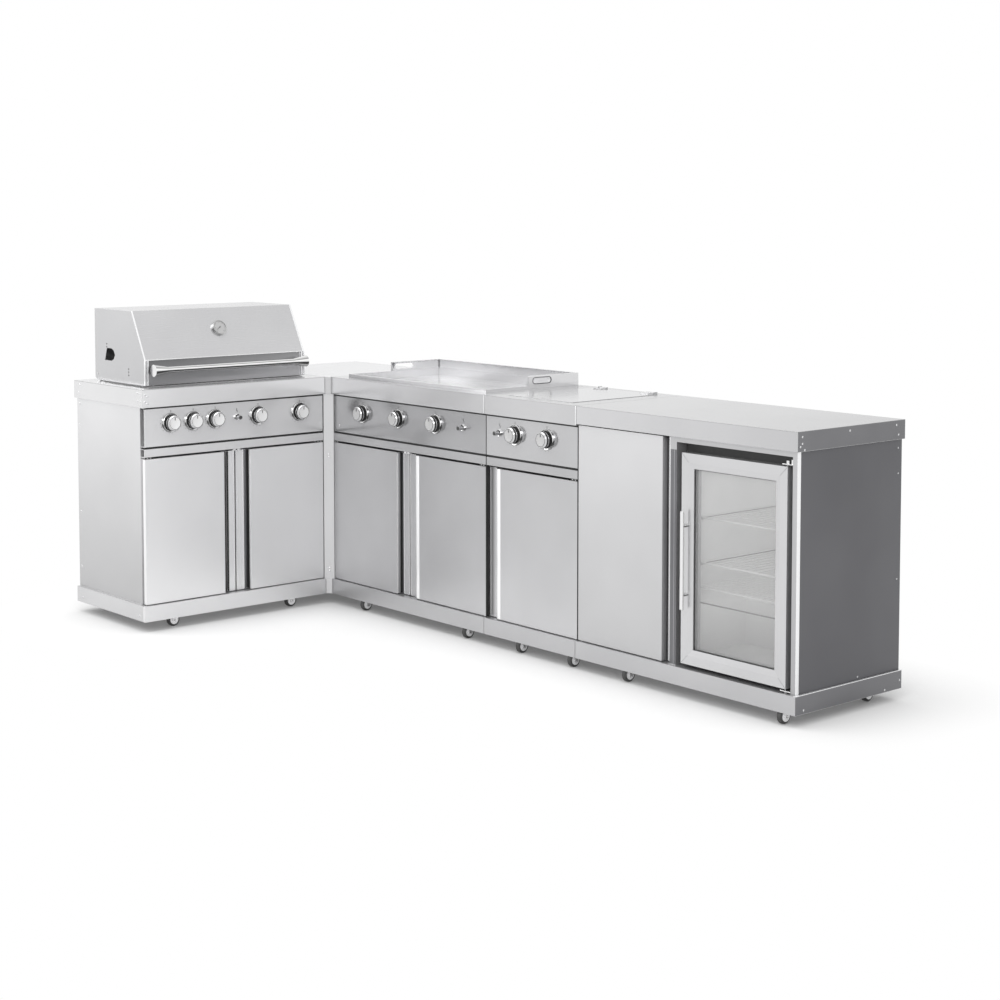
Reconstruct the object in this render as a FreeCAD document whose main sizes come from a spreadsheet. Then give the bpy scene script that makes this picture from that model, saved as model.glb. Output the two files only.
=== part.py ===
"""Outdoor kitchen island: four cabinet modules and a corner, in millimetres, +Z up.

The long run stands along X with its front facing -Y. The grill module stands at its left end, turned a
quarter turn, with its front facing +X. Each module is drawn in its own frame: u to the right along the
front, v back from the door faces, z up from the floor.
"""
import FreeCAD, Part
import math
import os
import re
import Sketcher

os.makedirs("parts", exist_ok=True)
doc = FreeCAD.newDocument("kitchen_island")

# Driving sizes
SIZES = {
    "floor_gap": 40,
    "plinth_height": 60,
    "top_height": 920,
    "fascia_height": 69,
    "cold_fascia_height": 63,
    "overhang": 12,
    "cabinet_depth": 515,
    "corner_cut": 30,
    "grill_width": 820,
    "griddle_width": 950,
    "side_width": 490,
    "cold_width": 980,
    "wall": 1.5,
    "top_skin": 1.5,
    "front_flange": 20,
    "seam": 2,
    "shadow_gap": 8,
    "control_height": 148,
    "header_height": 30,
    "door_depth": 26,
    "door_gap": 3,
    "door_sheet": 1.5,
    "door_hem": 24,
    "door_clear": 2,
    "door_chamfer": 8,
    "strip_width": 36,
    "strip_depth": 18,
    "groove_width": 21,
    "groove_depth": 24,
    "cold_strip_width": 20,
    "cold_groove_width": 13,
    "pivot_inset": 13,
    "pivot_depth": 7,
    "pivot_radius": 3,
    "pivot_play": 0.4,
    "pivot_reach": 9,
    "pivot_plate": 3,
    "pivot_plate_length": 38,
    "knob_rise": 86,
    "knob_pitch": 98,
    "knob_spread": 294,
    "griddle_knob_spread": 279,
    "griddle_button_edge": 130,
    "griddle_knob_pitch": 229,
    "side_button_place": 76,
    "side_knob_reach": 85,
    "knob_radius": 29,
    "knob_waist": 21,
    "knob_face": 26,
    "knob_reach": 31,
    "bezel_radius": 37,
    "bezel_bore": 23,
    "bezel_depth": 4,
    "stem_radius": 4,
    "stem_play": 1,
    "manifold_radius": 9,
    "manifold_depth": 36,
    "button_radius": 8,
    "button_head": 17,
    "button_travel": 6,
    "collar_radius": 12,
    "collar_depth": 5,
    "hood_inset": 44,
    "hood_front": 70,
    "hood_lift": 5,
    "hood_band": 97,
    "hood_height": 285,
    "hood_top_front": 165,
    "hood_back_gap": 70,
    "hood_wall": 1.5,
    "hinge_back": 20,
    "hinge_rise": 31,
    "handle_rise": 60,
    "handle_reach": 40,
    "handle_radius": 12,
    "cone_radius": 23,
    "cone_length": 62,
    "handle_inset": 18,
    "post_radius": 8,
    "spit_hole_radius": 24,
    "spit_hole_depth": 260,
    "spit_hole_rise": 105,
    "dial_radius": 31,
    "dial_depth": 9,
    "dial_share": 105,
    "firebox_inset": 70,
    "firebox_front": 84,
    "firebox_back_gap": 20,
    "firebox_depth": 150,
    "firebox_wall": 2,
    "firebox_flange": 16,
    "grate_bar": 8,
    "grate_pitch": 24,
    "grate_drop": 14,
    "tamer_width": 90,
    "tamer_rise": 34,
    "burner_radius": 13,
    "tray_inset": 50,
    "tray_front": 40,
    "tray_back_gap": 10,
    "tray_rim": 12,
    "tray_hem": 6,
    "tray_depth": 130,
    "tray_wall": 2,
    "plate_drop": 18,
    "plate_thick": 6,
    "trough_width": 36,
    "guard_height": 36,
    "guard_length": 253,
    "guard_sheet": 2,
    "guard_return": 9,
    "guard_slot_start": 20,
    "guard_slot_length": 92,
    "guard_slot_height": 22,
    "lid_inset": 78,
    "lid_front": 45,
    "lid_back_gap": 49,
    "lid_thick": 11,
    "lid_proud": 1.5,
    "lid_play": 3,
    "lid_pin_radius": 2,
    "lid_hinge_back": 8,
    "lid_hinge_rise": 4,
    "bowl_depth": 60,
    "bowl_inset": 12,
    "ring_radius": 52,
    "ring_height": 16,
    "support_bar": 6,
    "support_drop": 15,
    "post_width": 28,
    "opening_edge": 17,
    "rail_height": 18,
    "cold_door_width": 437,
    "fridge_front": 45,
    "fridge_side_play": 4,
    "fridge_wall": 34,
    "fridge_back_play": 12,
    "fridge_gap_left": 23,
    "fridge_gap_right": 21,
    "fridge_door_rise": 13,
    "fridge_door_drop": 50,
    "fridge_door_depth": 40,
    "stile_width": 50,
    "stile_slope": 5,
    "stile_bevel": 20,
    "glass_thick": 14,
    "glass_back": 14,
    "bar_radius": 7,
    "bar_reach": 24,
    "bar_rise": 185,
    "bar_length": 322,
    "bar_inset": 26,
    "bar_foot_inset": 48,
    "shelf_rise": 340,
    "shelf_pitch": 150,
    "step_height": 150,
    "step_depth": 170,
    "wire_radius": 2.5,
    "wire_pitch": 28,
    "wheel_radius": 25,
    "wheel_width": 20,
    "hub_radius": 14,
    "axle_radius": 4,
    "fork_sheet": 2.5,
    "fork_play": 1,
    "caster_plate": 56,
    "caster_trail": 22,
    "caster_front": 34,
    "caster_back": 72,
    "grill_caster_left": 157,
    "grill_caster_right": 122,
    "griddle_caster_left": 197,
    "griddle_caster_right": 119,
    "side_caster_left": 185,
    "side_caster_right": 32,
    "cold_caster_left": 240,
    "cold_caster_right": 54,
    "fit_play": 1,
    "knob_play": 1,
    "stem_back": 24,
    "button_back": 10,
    "hinge_pin_radius": 4,
    "lug_sheet": 3,
    "lug_half": 12,
    "notch_width": 9,
    "notch_rise": 24,
    "lug_inset": 22,
    "lid_pin_length": 20,
    "lid_lug_front": 4.5,
    "leaf_width": 40,
    "leaf_reach": 26,
    "barrel_radius": 3.5,
    "grease_inset": 90,
    "tamer_level": 54,
    "ledge_width": 10,
    "rail_inset": 40,
    "rail_foot": 14,
    "rail_drop": 28,
    "drip_front_gap": 16,
    "drip_back_gap": 15,
    "drip_depth": 28,
    "manifold_end": 24,
    "tube_lap": 3,
    "griddle_burner_rise": 36,
    "rack_rise": 155,
    "rack_back_gap": 30,
    "rack_width": 95,
    "trough_depth": 26,
    "trough_inset": 12,
    "seat_gap": 0.5,
    "support_inset": 24,
    "cold_pivot_inset": 12,
    "cold_pivot_depth": 15,
    "bracket_width": 24,
    "bracket_gap": 5,
    "pivot_bore": 14,
    "glass_seat": 8,
    "rib_width": 6,
    "rail_wire_radius": 3.5,
    "rib_height": 5,
    "rib_start": 22,
    "fork_plate": 3.5,
    "fork_height": 58,
    "axle_play": 0.4,
}

# Sizes that follow from others
DERIVED = {
    "plinth_top": "floor_gap + plinth_height",
    "hood_back": "cabinet_depth - hood_back_gap",
    "firebox_back": "hood_back - firebox_back_gap",
    "drip_front": "firebox_front + drip_front_gap",
    "drip_back": "firebox_back - drip_back_gap",
    "rack_back": "firebox_back - rack_back_gap",
    "rack_front": "rack_back - rack_width",
    "tray_back": "cabinet_depth - tray_back_gap",
    "guard_front": "tray_back - guard_length",
    "lid_back": "cabinet_depth - lid_back_gap",
    "lid_hinge_v": "lid_back + lid_hinge_back",
    "lid_hinge_z": "top_height + lid_hinge_rise",
    "top_return": "tray_back_gap + tray_hem - 2 * fit_play",
    "fascia_bottom": "top_height - fascia_height",
    "cold_fascia_bottom": "top_height - cold_fascia_height",
    "under_top": "top_height - top_skin",
    "control_top": "fascia_bottom - seam",
    "control_bottom": "control_top - control_height",
    "knob_level": "control_bottom + knob_rise",
    "button_reach": "collar_depth + button_travel + button_head",
    "knob_first": "grill_width / 2 - knob_spread",
    "griddle_knob_first": "griddle_width / 2 - griddle_knob_spread",
    "griddle_button_place": "griddle_width - griddle_button_edge",
    "header_top": "control_bottom - shadow_gap",
    "header_bottom": "header_top - header_height",
    "door_top": "header_bottom - shadow_gap",
    "door_bottom": "plinth_top + door_gap",
    "cold_door_top": "cold_fascia_bottom - pivot_plate - door_clear",
    "shell_front": "door_depth + door_clear",
    "run_length": "griddle_width + side_width + cold_width + overhang",
    "wing_length": "corner_cut + grill_width + overhang",
    "corner_x": "(corner_cut + cabinet_depth - run_length) / 2",
    "corner_y": "(wing_length - cabinet_depth) / 2",
    "grill_x": "corner_x - corner_cut",
    "grill_y": "corner_y - corner_cut - grill_width",
    "side_x": "corner_x + griddle_width",
    "cold_x": "corner_x + griddle_width + side_width",
    "hood_low": "top_height + hood_lift",
    "hood_band_top": "hood_low + hood_band",
    "hood_top": "top_height + hood_height",
    "slope_run": "hood_top_front - hood_front",
    "slope_rise": "hood_top - hood_band_top",
    "hinge_v": "hood_back - hinge_back",
    "hinge_z": "top_height + hinge_rise",
    "rim_top": "top_height + tray_rim",
    "lid_top": "top_height + lid_proud",
    "opening_left": "cold_door_width + 2 * door_gap + post_width",
    "opening_right": "cold_width - opening_edge",
    "fridge_door_left": "opening_left + fridge_gap_left",
    "fridge_door_right": "opening_right - fridge_gap_right",
    "fridge_door_low": "plinth_top + fridge_door_rise",
    "fridge_door_high": "cold_fascia_bottom - fridge_door_drop",
    "bar_low": "fridge_door_low + bar_rise",
    "bar_high": "bar_low + bar_length",
    "shelf_low": "plinth_top + shelf_rise",
    "shelf_high": "shelf_low + shelf_pitch",
    "fridge_left": "opening_left + fridge_side_play",
    "fridge_right": "opening_right - fridge_side_play",
    "fridge_top": "cold_fascia_bottom - rail_height - fridge_side_play",
}

sheet = doc.addObject("Spreadsheet::Sheet", "sizes")
for row, (word, value) in enumerate(list(SIZES.items()) + list(DERIVED.items()), start=1):
    sheet.set(f"A{row}", word)
    sheet.setAlias(f"B{row}", word)
for row, (word, value) in enumerate(list(SIZES.items()) + list(DERIVED.items()), start=1):
    sheet.set(f"B{row}", "=" + value if word in DERIVED else str(value))
doc.recompute()

WORDS = re.compile(r"\b(" + "|".join(list(SIZES) + list(DERIVED)) + r")\b")


def formula(text):
    """The text with each size's name turned into a reference to the sheet."""
    return WORDS.sub(lambda found: "sizes." + found.group(1), str(text))


def value(text):
    """The number that a formula of sizes gives now."""
    return float(sheet.evalExpression(formula(text)))


def link(thing, prop, text):
    """Binds one property to a formula of sizes."""
    thing.setExpression(prop, formula(text))


# Places of the module frames: x and y of the frame's origin and its turn about Z
QUARTER_TURN = 90
MITRE = math.tan(math.radians(QUARTER_TURN / 4))
FRAMES = {
    "grill": ("grill_x", "grill_y", QUARTER_TURN),
    "corner": ("corner_x", "corner_y", 0),
    "griddle": ("corner_x", "corner_y", 0),
    "side": ("side_x", "corner_y", 0),
    "cold": ("cold_x", "corner_y", 0),
    "part": ("0", "0", 0),
}
PLANES = {"x": "YZ_Plane", "y": "XZ_Plane", "z": "XY_Plane"}
AXES = {"x": "X_Axis", "y": "Y_Axis", "z": "Z_Axis"}
FULL_TURN = 360
nodes = []
cuts = []


def stand(thing, frame, u="0", v="0", z="0"):
    """Puts a body at a point that is given in a module's frame."""
    base_x, base_y, turn = FRAMES[frame]
    x = f"{base_x} - ({v})" if turn else f"{base_x} + ({u})"
    y = f"{base_y} + ({u})" if turn else f"{base_y} + ({v})"
    turned_z = FreeCAD.Rotation(FreeCAD.Vector(0, 0, 1), turn)
    thing.Placement = FreeCAD.Placement(FreeCAD.Vector(), turned_z)
    link(thing, "Placement.Base.x", x)
    link(thing, "Placement.Base.y", y)
    link(thing, "Placement.Base.z", z)


def start(node, frame, u="0", v="0", z="0", export=True):
    """A new body with its node's name, standing in a module's frame."""
    body = doc.addObject("PartDesign::Body", node)
    body.Label = node
    body.AllowCompound = True
    stand(body, frame, u, v, z)
    if export:
        nodes.append(body)
    return body


def origin_part(body, role):
    """One of the body's own origin planes or axes."""
    return next(item for item in body.Origin.OriginFeatures if item.Role == role)


def pin_point(sketch, curve, place, x, y):
    """Fixes one point of a curve at x and y from the sketch's origin."""
    for kind, text in (("DistanceX", x), ("DistanceY", y)):
        rule = Sketcher.Constraint(kind, -1, 1, curve, place, value(text))
        index = sketch.addConstraint(rule)
        link(sketch, f"Constraints[{index}]", text)


def draw(body, axis, shapes, level="0"):
    """A sketch square to an axis at a level; a shape is a list of points or a (x, y, radius) circle."""
    sketch = body.newObject("Sketcher::SketchObject", f"{body.Name}_outline")
    sketch.AttachmentSupport = [(origin_part(body, PLANES[axis]), "")]
    sketch.MapMode = "FlatFace"
    link(sketch, "AttachmentOffset.Base.z", f"-({level})" if axis == "y" else level)
    for shape in shapes:
        first = sketch.GeometryCount
        if isinstance(shape, tuple):
            x, y, radius = shape
            centre = FreeCAD.Vector(value(x), value(y), 0)
            sketch.addGeometry(Part.Circle(centre, FreeCAD.Vector(0, 0, 1), value(radius)), False)
            pin_point(sketch, first, 3, x, y)
            index = sketch.addConstraint(Sketcher.Constraint("Radius", first, value(radius)))
            link(sketch, f"Constraints[{index}]", radius)
            continue
        points = [FreeCAD.Vector(value(x), value(y), 0) for x, y in shape]
        for here, there in zip(points, points[1:] + points[:1]):
            sketch.addGeometry(Part.LineSegment(here, there), False)
        for index, (x, y) in enumerate(shape):
            pin_point(sketch, first + index, 1, x, y)
            after = first + (index + 1) % len(shape)
            sketch.addConstraint(Sketcher.Constraint("Coincident", first + index, 2, after, 1))
    return sketch


def solid(body, axis, shapes, low, high):
    """Adds the shapes, drawn square to an axis, from low to high along it."""
    pad = body.newObject("PartDesign::Pad", f"{body.Name}_pad")
    pad.Profile = draw(body, axis, shapes, high if axis == "y" else low)
    link(pad, "Length", f"({high}) - ({low})")
    return pad


def hollow(body, axis, shapes, low, high):
    """Cuts the shapes, drawn square to an axis, away from low to high along it."""
    before = body.Tip
    pocket = body.newObject("PartDesign::Pocket", f"{body.Name}_pocket")
    pocket.Profile = draw(body, axis, shapes, low if axis == "y" else high)
    link(pocket, "Length", f"({high}) - ({low})")
    cuts.append((before, pocket))
    return pocket


def turned(body, points, about):
    """Adds a profile turned about the body's X or Y axis: points are (x, y) in its XY plane."""
    spin = body.newObject("PartDesign::Revolution", f"{body.Name}_turned")
    sketch = draw(body, "z", points)
    spin.Profile = sketch
    spin.ReferenceAxis = (sketch, ["H_Axis" if about == "x" else "V_Axis"])
    spin.Angle = FULL_TURN
    return spin


def repeat(body, feature, axis, pitch, count):
    """Repeats a feature along an axis, count times with one pitch between."""
    row_of = body.newObject("PartDesign::LinearPattern", f"{body.Name}_row")
    row_of.Originals = [feature]
    row_of.Direction = (origin_part(body, AXES[axis]), [""])
    link(row_of, "Length", f"({pitch}) * (({count}) - 1)")
    link(row_of, "Occurrences", count)
    body.Tip = row_of
    return row_of


def rect(x_low, y_low, x_high, y_high):
    """The corner points of a rectangle."""
    return [(x_low, y_low), (x_high, y_low), (x_high, y_high), (x_low, y_high)]


def inset(x_low, y_low, x_high, y_high, by):
    """The rectangle that lies inside by one distance."""
    return rect(f"{x_low} + ({by})", f"{y_low} + ({by})", f"{x_high} - ({by})", f"{y_high} - ({by})")


def block(body, u_low, u_high, v_low, v_high, z_low, z_high):
    """Adds a rectangular block."""
    return solid(body, "z", [rect(u_low, v_low, u_high, v_high)], z_low, z_high)


def channel(back, low, high):
    """Side profile of a folded rail with its open side to the back."""
    return [("0", low), (back, low), (back, f"{low} + wall"), ("wall", f"{low} + wall"),
            ("wall", f"{high} - wall"), (back, f"{high} - wall"), (back, high), ("0", high)]


# Cabinet shells: folded sheet open to the front, standing on a plinth that is open below
def shell(body, left, right, top):
    """Side walls, back and front flanges of one cabinet, in one bend."""
    front, back = "shell_front", "cabinet_depth"
    solid(body, "z", [[
        (left, front), (f"{left} + front_flange", front), (f"{left} + front_flange", f"{front} + wall"),
        (f"{left} + wall", f"{front} + wall"), (f"{left} + wall", f"{back} - wall"),
        (f"{right} - wall", f"{back} - wall"), (f"{right} - wall", f"{front} + wall"),
        (f"{right} - front_flange", f"{front} + wall"), (f"{right} - front_flange", front),
        (right, front), (right, back), (left, back),
    ]], "plinth_top", top)


def plinth(body, left, right):
    """The plinth pan under one cabinet."""
    edges = (left, "-overhang", right, "cabinet_depth")
    solid(body, "z", [rect(*edges), inset(*edges, "wall")], "floor_gap", "plinth_top - wall")
    solid(body, "z", [rect(*edges)], "plinth_top - wall", "plinth_top")


def pivots(body, edge, side, plate_low, top_of_door):
    """Hinge pins at the top and bottom of a door edge; side is + for a left edge and - for a right edge."""
    centre = f"{edge} {side} pivot_inset"
    far = f"{edge} {side} (pivot_plate_length - door_gap)"
    low, high = (edge, far) if side == "+" else (far, edge)
    block(body, low, high, "seam", "shell_front + wall", plate_low, f"{plate_low} + pivot_plate")
    pin = [(centre, "pivot_depth", "pivot_radius")]
    solid(body, "z", pin, f"{top_of_door} - pivot_reach", plate_low)
    solid(body, "z", pin, "plinth_top", "door_bottom + pivot_reach")


def cabinet(node, frame, width, left="seam / 2", plinth_left="seam / 2"):
    """A cabinet with a header rail above its doors."""
    body = start(node, frame)
    right = f"{width} - seam / 2"
    plinth(body, plinth_left, right)
    shell(body, left, right, "fascia_bottom")
    solid(body, "x", [channel("shell_front + wall", "header_bottom", "header_top")], left, right)
    return body


grill_cabinet = cabinet("grill_cabinet", "grill", "grill_width", "0", "-overhang")
griddle_cabinet = cabinet("griddle_cabinet", "griddle", "griddle_width")
side_cabinet = cabinet("side_cabinet", "side", "side_width")
for shell_body, width in ((grill_cabinet, "grill_width"), (griddle_cabinet, "griddle_width")):
    pivots(shell_body, "door_gap", "+", "header_bottom - pivot_plate", "door_top")
    pivots(shell_body, f"{width} - door_gap", "-", "header_bottom - pivot_plate", "door_top")
pivots(side_cabinet, "side_width - door_gap", "-", "header_bottom - pivot_plate", "door_top")

# Fridge module's cabinet: a storage cupboard, a divider and the framed opening of the fridge
fridge_cabinet = start("fridge_cabinet", "cold")
plinth(fridge_cabinet, "seam / 2", "cold_width + overhang")
shell(fridge_cabinet, "seam / 2", "cold_width", "cold_fascia_bottom")
post_left = "cold_door_width + 2 * door_gap"
solid(fridge_cabinet, "z", [[
    (post_left, "0"), ("opening_left", "0"), ("opening_left", "cabinet_depth - wall"),
    ("opening_left - wall", "cabinet_depth - wall"), ("opening_left - wall", "wall"),
    (f"{post_left} + wall", "wall"), (f"{post_left} + wall", "shell_front"), (post_left, "shell_front"),
]], "plinth_top", "cold_fascia_bottom")
solid(fridge_cabinet, "z", [[
    ("opening_right", "0"), ("cold_width", "0"), ("cold_width", "shell_front + wall"),
    ("cold_width - wall", "shell_front + wall"), ("cold_width - wall", "wall"),
    ("opening_right + wall", "wall"), ("opening_right + wall", "shell_front + wall"),
    ("opening_right", "shell_front + wall"),
]], "plinth_top", "cold_fascia_bottom")
solid(fridge_cabinet, "x", [channel("shell_front", "cold_fascia_bottom - rail_height", "cold_fascia_bottom")],
      "opening_left", "opening_right")
pivots(fridge_cabinet, "door_gap", "+", "cold_fascia_bottom - pivot_plate", "cold_door_top")
fridge_pin_u = "fridge_door_right - cold_pivot_inset"
fridge_pin = [(fridge_pin_u, "cold_pivot_depth", "pivot_radius")]
block(fridge_cabinet, "fridge_door_right - bracket_width", "opening_right", "seam", "shell_front",
      "fridge_door_high + bracket_gap", "fridge_door_high + bracket_gap + pivot_plate")
block(fridge_cabinet, "fridge_door_right - bracket_width", "opening_right + wall", "seam", "shell_front",
      "fridge_door_low - bracket_gap - pivot_plate", "fridge_door_low - bracket_gap")
solid(fridge_cabinet, "z", fridge_pin, "fridge_door_high - pivot_reach", "fridge_door_high + bracket_gap")
solid(fridge_cabinet, "z", fridge_pin, "fridge_door_low - bracket_gap", "fridge_door_low + pivot_reach")

# Corner: a plinth, two outer walls and the narrow front strip at 45 degrees
def corner_plan(by):
    """Plan of the corner, drawn in by one distance; its cut corner follows the fascia line."""
    low = f"(seam / 2 + {by})"
    cut = f"({MITRE} * {by})"
    outer = f"-(corner_cut + cabinet_depth) + {by}"
    return [(outer, f"-corner_cut + {low}"), (f"-corner_cut + overhang - {cut}", f"-corner_cut + {low}"),
            (f"-{low}", f"-overhang + {cut}"), (f"-{low}", f"cabinet_depth - {by}"),
            (outer, f"cabinet_depth - {by}")]


corner_cabinet = start("corner_cabinet", "corner")
solid(corner_cabinet, "z", [corner_plan("0"), corner_plan("wall")], "floor_gap", "plinth_top - wall")
solid(corner_cabinet, "z", [corner_plan("0")], "plinth_top - wall", "plinth_top")
outer = "-(corner_cut + cabinet_depth)"
solid(corner_cabinet, "z", [[
    (outer, "-corner_cut + seam / 2"), (f"{outer} + front_flange", "-corner_cut + seam / 2"),
    (f"{outer} + front_flange", "-corner_cut + seam / 2 + wall"),
    (f"{outer} + wall", "-corner_cut + seam / 2 + wall"),
    (f"{outer} + wall", "cabinet_depth - wall"), ("-seam / 2 - wall", "cabinet_depth - wall"),
    ("-seam / 2 - wall", "cabinet_depth - front_flange"), ("-seam / 2", "cabinet_depth - front_flange"),
    ("-seam / 2", "cabinet_depth"), (outer, "cabinet_depth"),
]], "plinth_top", "fascia_bottom")
solid(corner_cabinet, "z", [[
    ("-corner_cut", "-corner_cut + seam / 2"), ("-seam / 2", "0"), ("-seam / 2", "door_hem"),
    ("-seam / 2 - wall", "door_hem"), ("-seam / 2 - wall", f"{MITRE} * wall"),
    (f"-corner_cut - {MITRE} * wall", "-corner_cut + seam / 2 + wall"),
    ("-corner_cut - door_hem", "-corner_cut + seam / 2 + wall"),
    ("-corner_cut - door_hem", "-corner_cut + seam / 2"),
]], "plinth_top", "fascia_bottom")

# Worktops: a top skin, the fascia all round and a bottom return that rests on the cabinet
def worktop(node, frame, left, right, low, openings):
    """A worktop pan whose skin holds the given openings."""
    body = start(node, frame)
    edges = (left, "-overhang", right, "cabinet_depth")
    solid(body, "z", [rect(*edges), inset(*edges, "wall")], low, "under_top")
    solid(body, "z", [rect(*edges), inset(*edges, "top_return")], low, f"{low} + wall")
    solid(body, "z", [rect(*edges)] + openings, "under_top", "top_height")
    return body


fire_opening = inset("firebox_inset", "firebox_front", "grill_width - firebox_inset", "firebox_back",
                     "(-fit_play)")
tray_opening = inset("tray_inset + tray_hem", "tray_front + tray_hem",
                     "griddle_width - tray_inset - tray_hem",
                     "tray_back - tray_hem", "(-fit_play)")
lid_opening = inset("lid_inset", "lid_front", "side_width - lid_inset", "lid_back", "(-lid_play)")
grill_worktop = worktop("grill_worktop", "grill", "-overhang", "grill_width - seam / 2", "fascia_bottom",
                        [fire_opening])
griddle_worktop = worktop("griddle_worktop", "griddle", "seam / 2", "griddle_width - seam / 2",
                          "fascia_bottom",
                          [tray_opening])
side_worktop = worktop("side_worktop", "side", "seam / 2", "side_width - seam / 2", "fascia_bottom",
                       [lid_opening])
fridge_worktop = worktop("fridge_worktop", "cold", "seam / 2", "cold_width + overhang", "cold_fascia_bottom",
                         [])
corner_worktop = start("corner_worktop", "corner")
solid(corner_worktop, "z", [corner_plan("0"), corner_plan("wall")], "fascia_bottom", "under_top")
solid(corner_worktop, "z", [corner_plan("0"), corner_plan("top_return")], "fascia_bottom",
      "fascia_bottom + wall")
solid(corner_worktop, "z", [corner_plan("0")], "under_top", "top_height")

# Hinge brackets of the hood and of the side burner's lid stand on the worktops
for left in ("hood_inset + hood_wall + fit_play",
             "grill_width - hood_inset - hood_wall - fit_play - lug_sheet"):
    block(grill_worktop, left, f"{left} + lug_sheet", "hinge_v - lug_half", "hinge_v + lug_half",
          "top_height", "hinge_z + lug_half")
hood_pin = [("hinge_v", "hinge_z", "hinge_pin_radius")]
solid(grill_worktop, "x", hood_pin, "hood_inset - fit_play", "hood_inset + hood_wall + fit_play")
solid(grill_worktop, "x", hood_pin, "grill_width - hood_inset - hood_wall - fit_play",
      "grill_width - hood_inset + fit_play")
lid_pin = [("lid_hinge_v", "lid_hinge_z", "lid_pin_radius")]
lug_left = "lid_inset + lug_inset"
lug_right = "side_width - lid_inset - lug_inset"
for left in (f"{lug_left} - lug_sheet", lug_right):
    block(side_worktop, left, f"{left} + lug_sheet", "lid_hinge_v - lid_lug_front", "lid_hinge_v + lug_half",
          "top_height", "lid_hinge_z + lid_pin_radius + seam")
solid(side_worktop, "x", lid_pin, lug_left, f"{lug_left} + lid_pin_length")
solid(side_worktop, "x", lid_pin, f"{lug_right} - lid_pin_length", lug_right)

# Control panels, each with holes for its knob stems and its igniter
GRILL_KNOBS = ["knob_first", "knob_first + knob_pitch", "knob_first + 2 * knob_pitch",
               "knob_first + 4 * knob_pitch",
               "knob_first + 6 * knob_pitch"]
GRILL_BUTTON = "knob_first + 3 * knob_pitch"
GRIDDLE_KNOBS = [f"griddle_knob_first + {index} * griddle_knob_pitch" for index in range(3)]
SIDE_KNOBS = ["side_width / 2 - side_knob_reach", "side_width / 2 + side_knob_reach"]


def control_panel(node, frame, width, knobs, button):
    """A folded panel with holes for knob stems and one button."""
    body = start(node, frame)
    right = f"{width} - seam / 2"
    solid(body, "x", [channel("shell_front", "control_bottom", "control_top")], "seam / 2", right)
    holes = [(u, "knob_level", "stem_radius + stem_play") for u in knobs]
    holes.append((button, "knob_level", "button_radius + stem_play"))
    hollow(body, "y", holes, "0", "wall")
    return body


control_panel("grill_control_panel", "grill", "grill_width", GRILL_KNOBS, GRILL_BUTTON)
control_panel("griddle_control_panel", "griddle", "griddle_width", GRIDDLE_KNOBS, "griddle_button_place")
control_panel("side_control_panel", "side", "side_width", SIDE_KNOBS, "side_button_place")

# Bezel rings of the knobs and collars of the igniters
bezels = start("knob_bezels", "part")
run_rings = []
run_collars = []
for base, knobs, button in (("corner_x", GRIDDLE_KNOBS, "griddle_button_place"),
                            ("side_x", SIDE_KNOBS, "side_button_place")):
    for u in knobs:
        run_rings += [(f"{base} + {u}", "knob_level", "bezel_radius"),
                      (f"{base} + {u}", "knob_level", "bezel_bore")]
    run_collars += [(f"{base} + {button}", "knob_level", "collar_radius"),
                    (f"{base} + {button}", "knob_level", "button_radius + stem_play")]
solid(bezels, "y", run_rings, "corner_y - bezel_depth", "corner_y")
solid(bezels, "y", run_collars, "corner_y - collar_depth", "corner_y")
wing_rings = []
for u in GRILL_KNOBS:
    wing_rings += [(f"grill_y + {u}", "knob_level", "bezel_radius"),
                   (f"grill_y + {u}", "knob_level", "bezel_bore")]
wing_collar = [(f"grill_y + {GRILL_BUTTON}", "knob_level", "collar_radius"),
               (f"grill_y + {GRILL_BUTTON}", "knob_level", "button_radius + stem_play")]
solid(bezels, "x", wing_rings, "grill_x", "grill_x + bezel_depth")
solid(bezels, "x", wing_collar, "grill_x", "grill_x + collar_depth")


def knob(node, frame, u):
    """A turned knob: pale face, wide rim, narrow waist and a stem through the panel."""
    body = start(node, frame, u, "0", "knob_level")
    turned(body, [[
        ("0", "-knob_reach"), ("knob_face", "-knob_reach"), ("knob_radius", "-knob_reach + bezel_depth"),
        ("knob_radius", "-knob_reach / 2"), ("knob_waist", "-bezel_depth - seam"),
        ("knob_waist", "-knob_play"), ("stem_radius", "-knob_play"), ("stem_radius", "stem_back"),
        ("0", "stem_back"),
    ]], "y")


def igniter(node, frame, u):
    """A push button with a rounded head and a shank through its collar."""
    body = start(node, frame, u, "0", "knob_level")
    turned(body, [[
        ("0", "-button_reach"), ("button_radius - seam", "-button_reach"),
        ("button_radius", "-button_reach + seam"), ("button_radius", "button_back"), ("0", "button_back"),
    ]], "y")


for index, u in enumerate(GRILL_KNOBS, start=1):
    knob(f"grill_knob_{index}", "grill", u)
for index, u in enumerate(GRIDDLE_KNOBS, start=1):
    knob(f"griddle_knob_{index}", "griddle", u)
for index, u in enumerate(SIDE_KNOBS, start=1):
    knob(f"side_knob_{index}", "side", u)
igniter("grill_igniter", "grill", GRILL_BUTTON)
igniter("griddle_igniter", "griddle", "griddle_button_place")
igniter("side_igniter", "side", "side_button_place")


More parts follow.
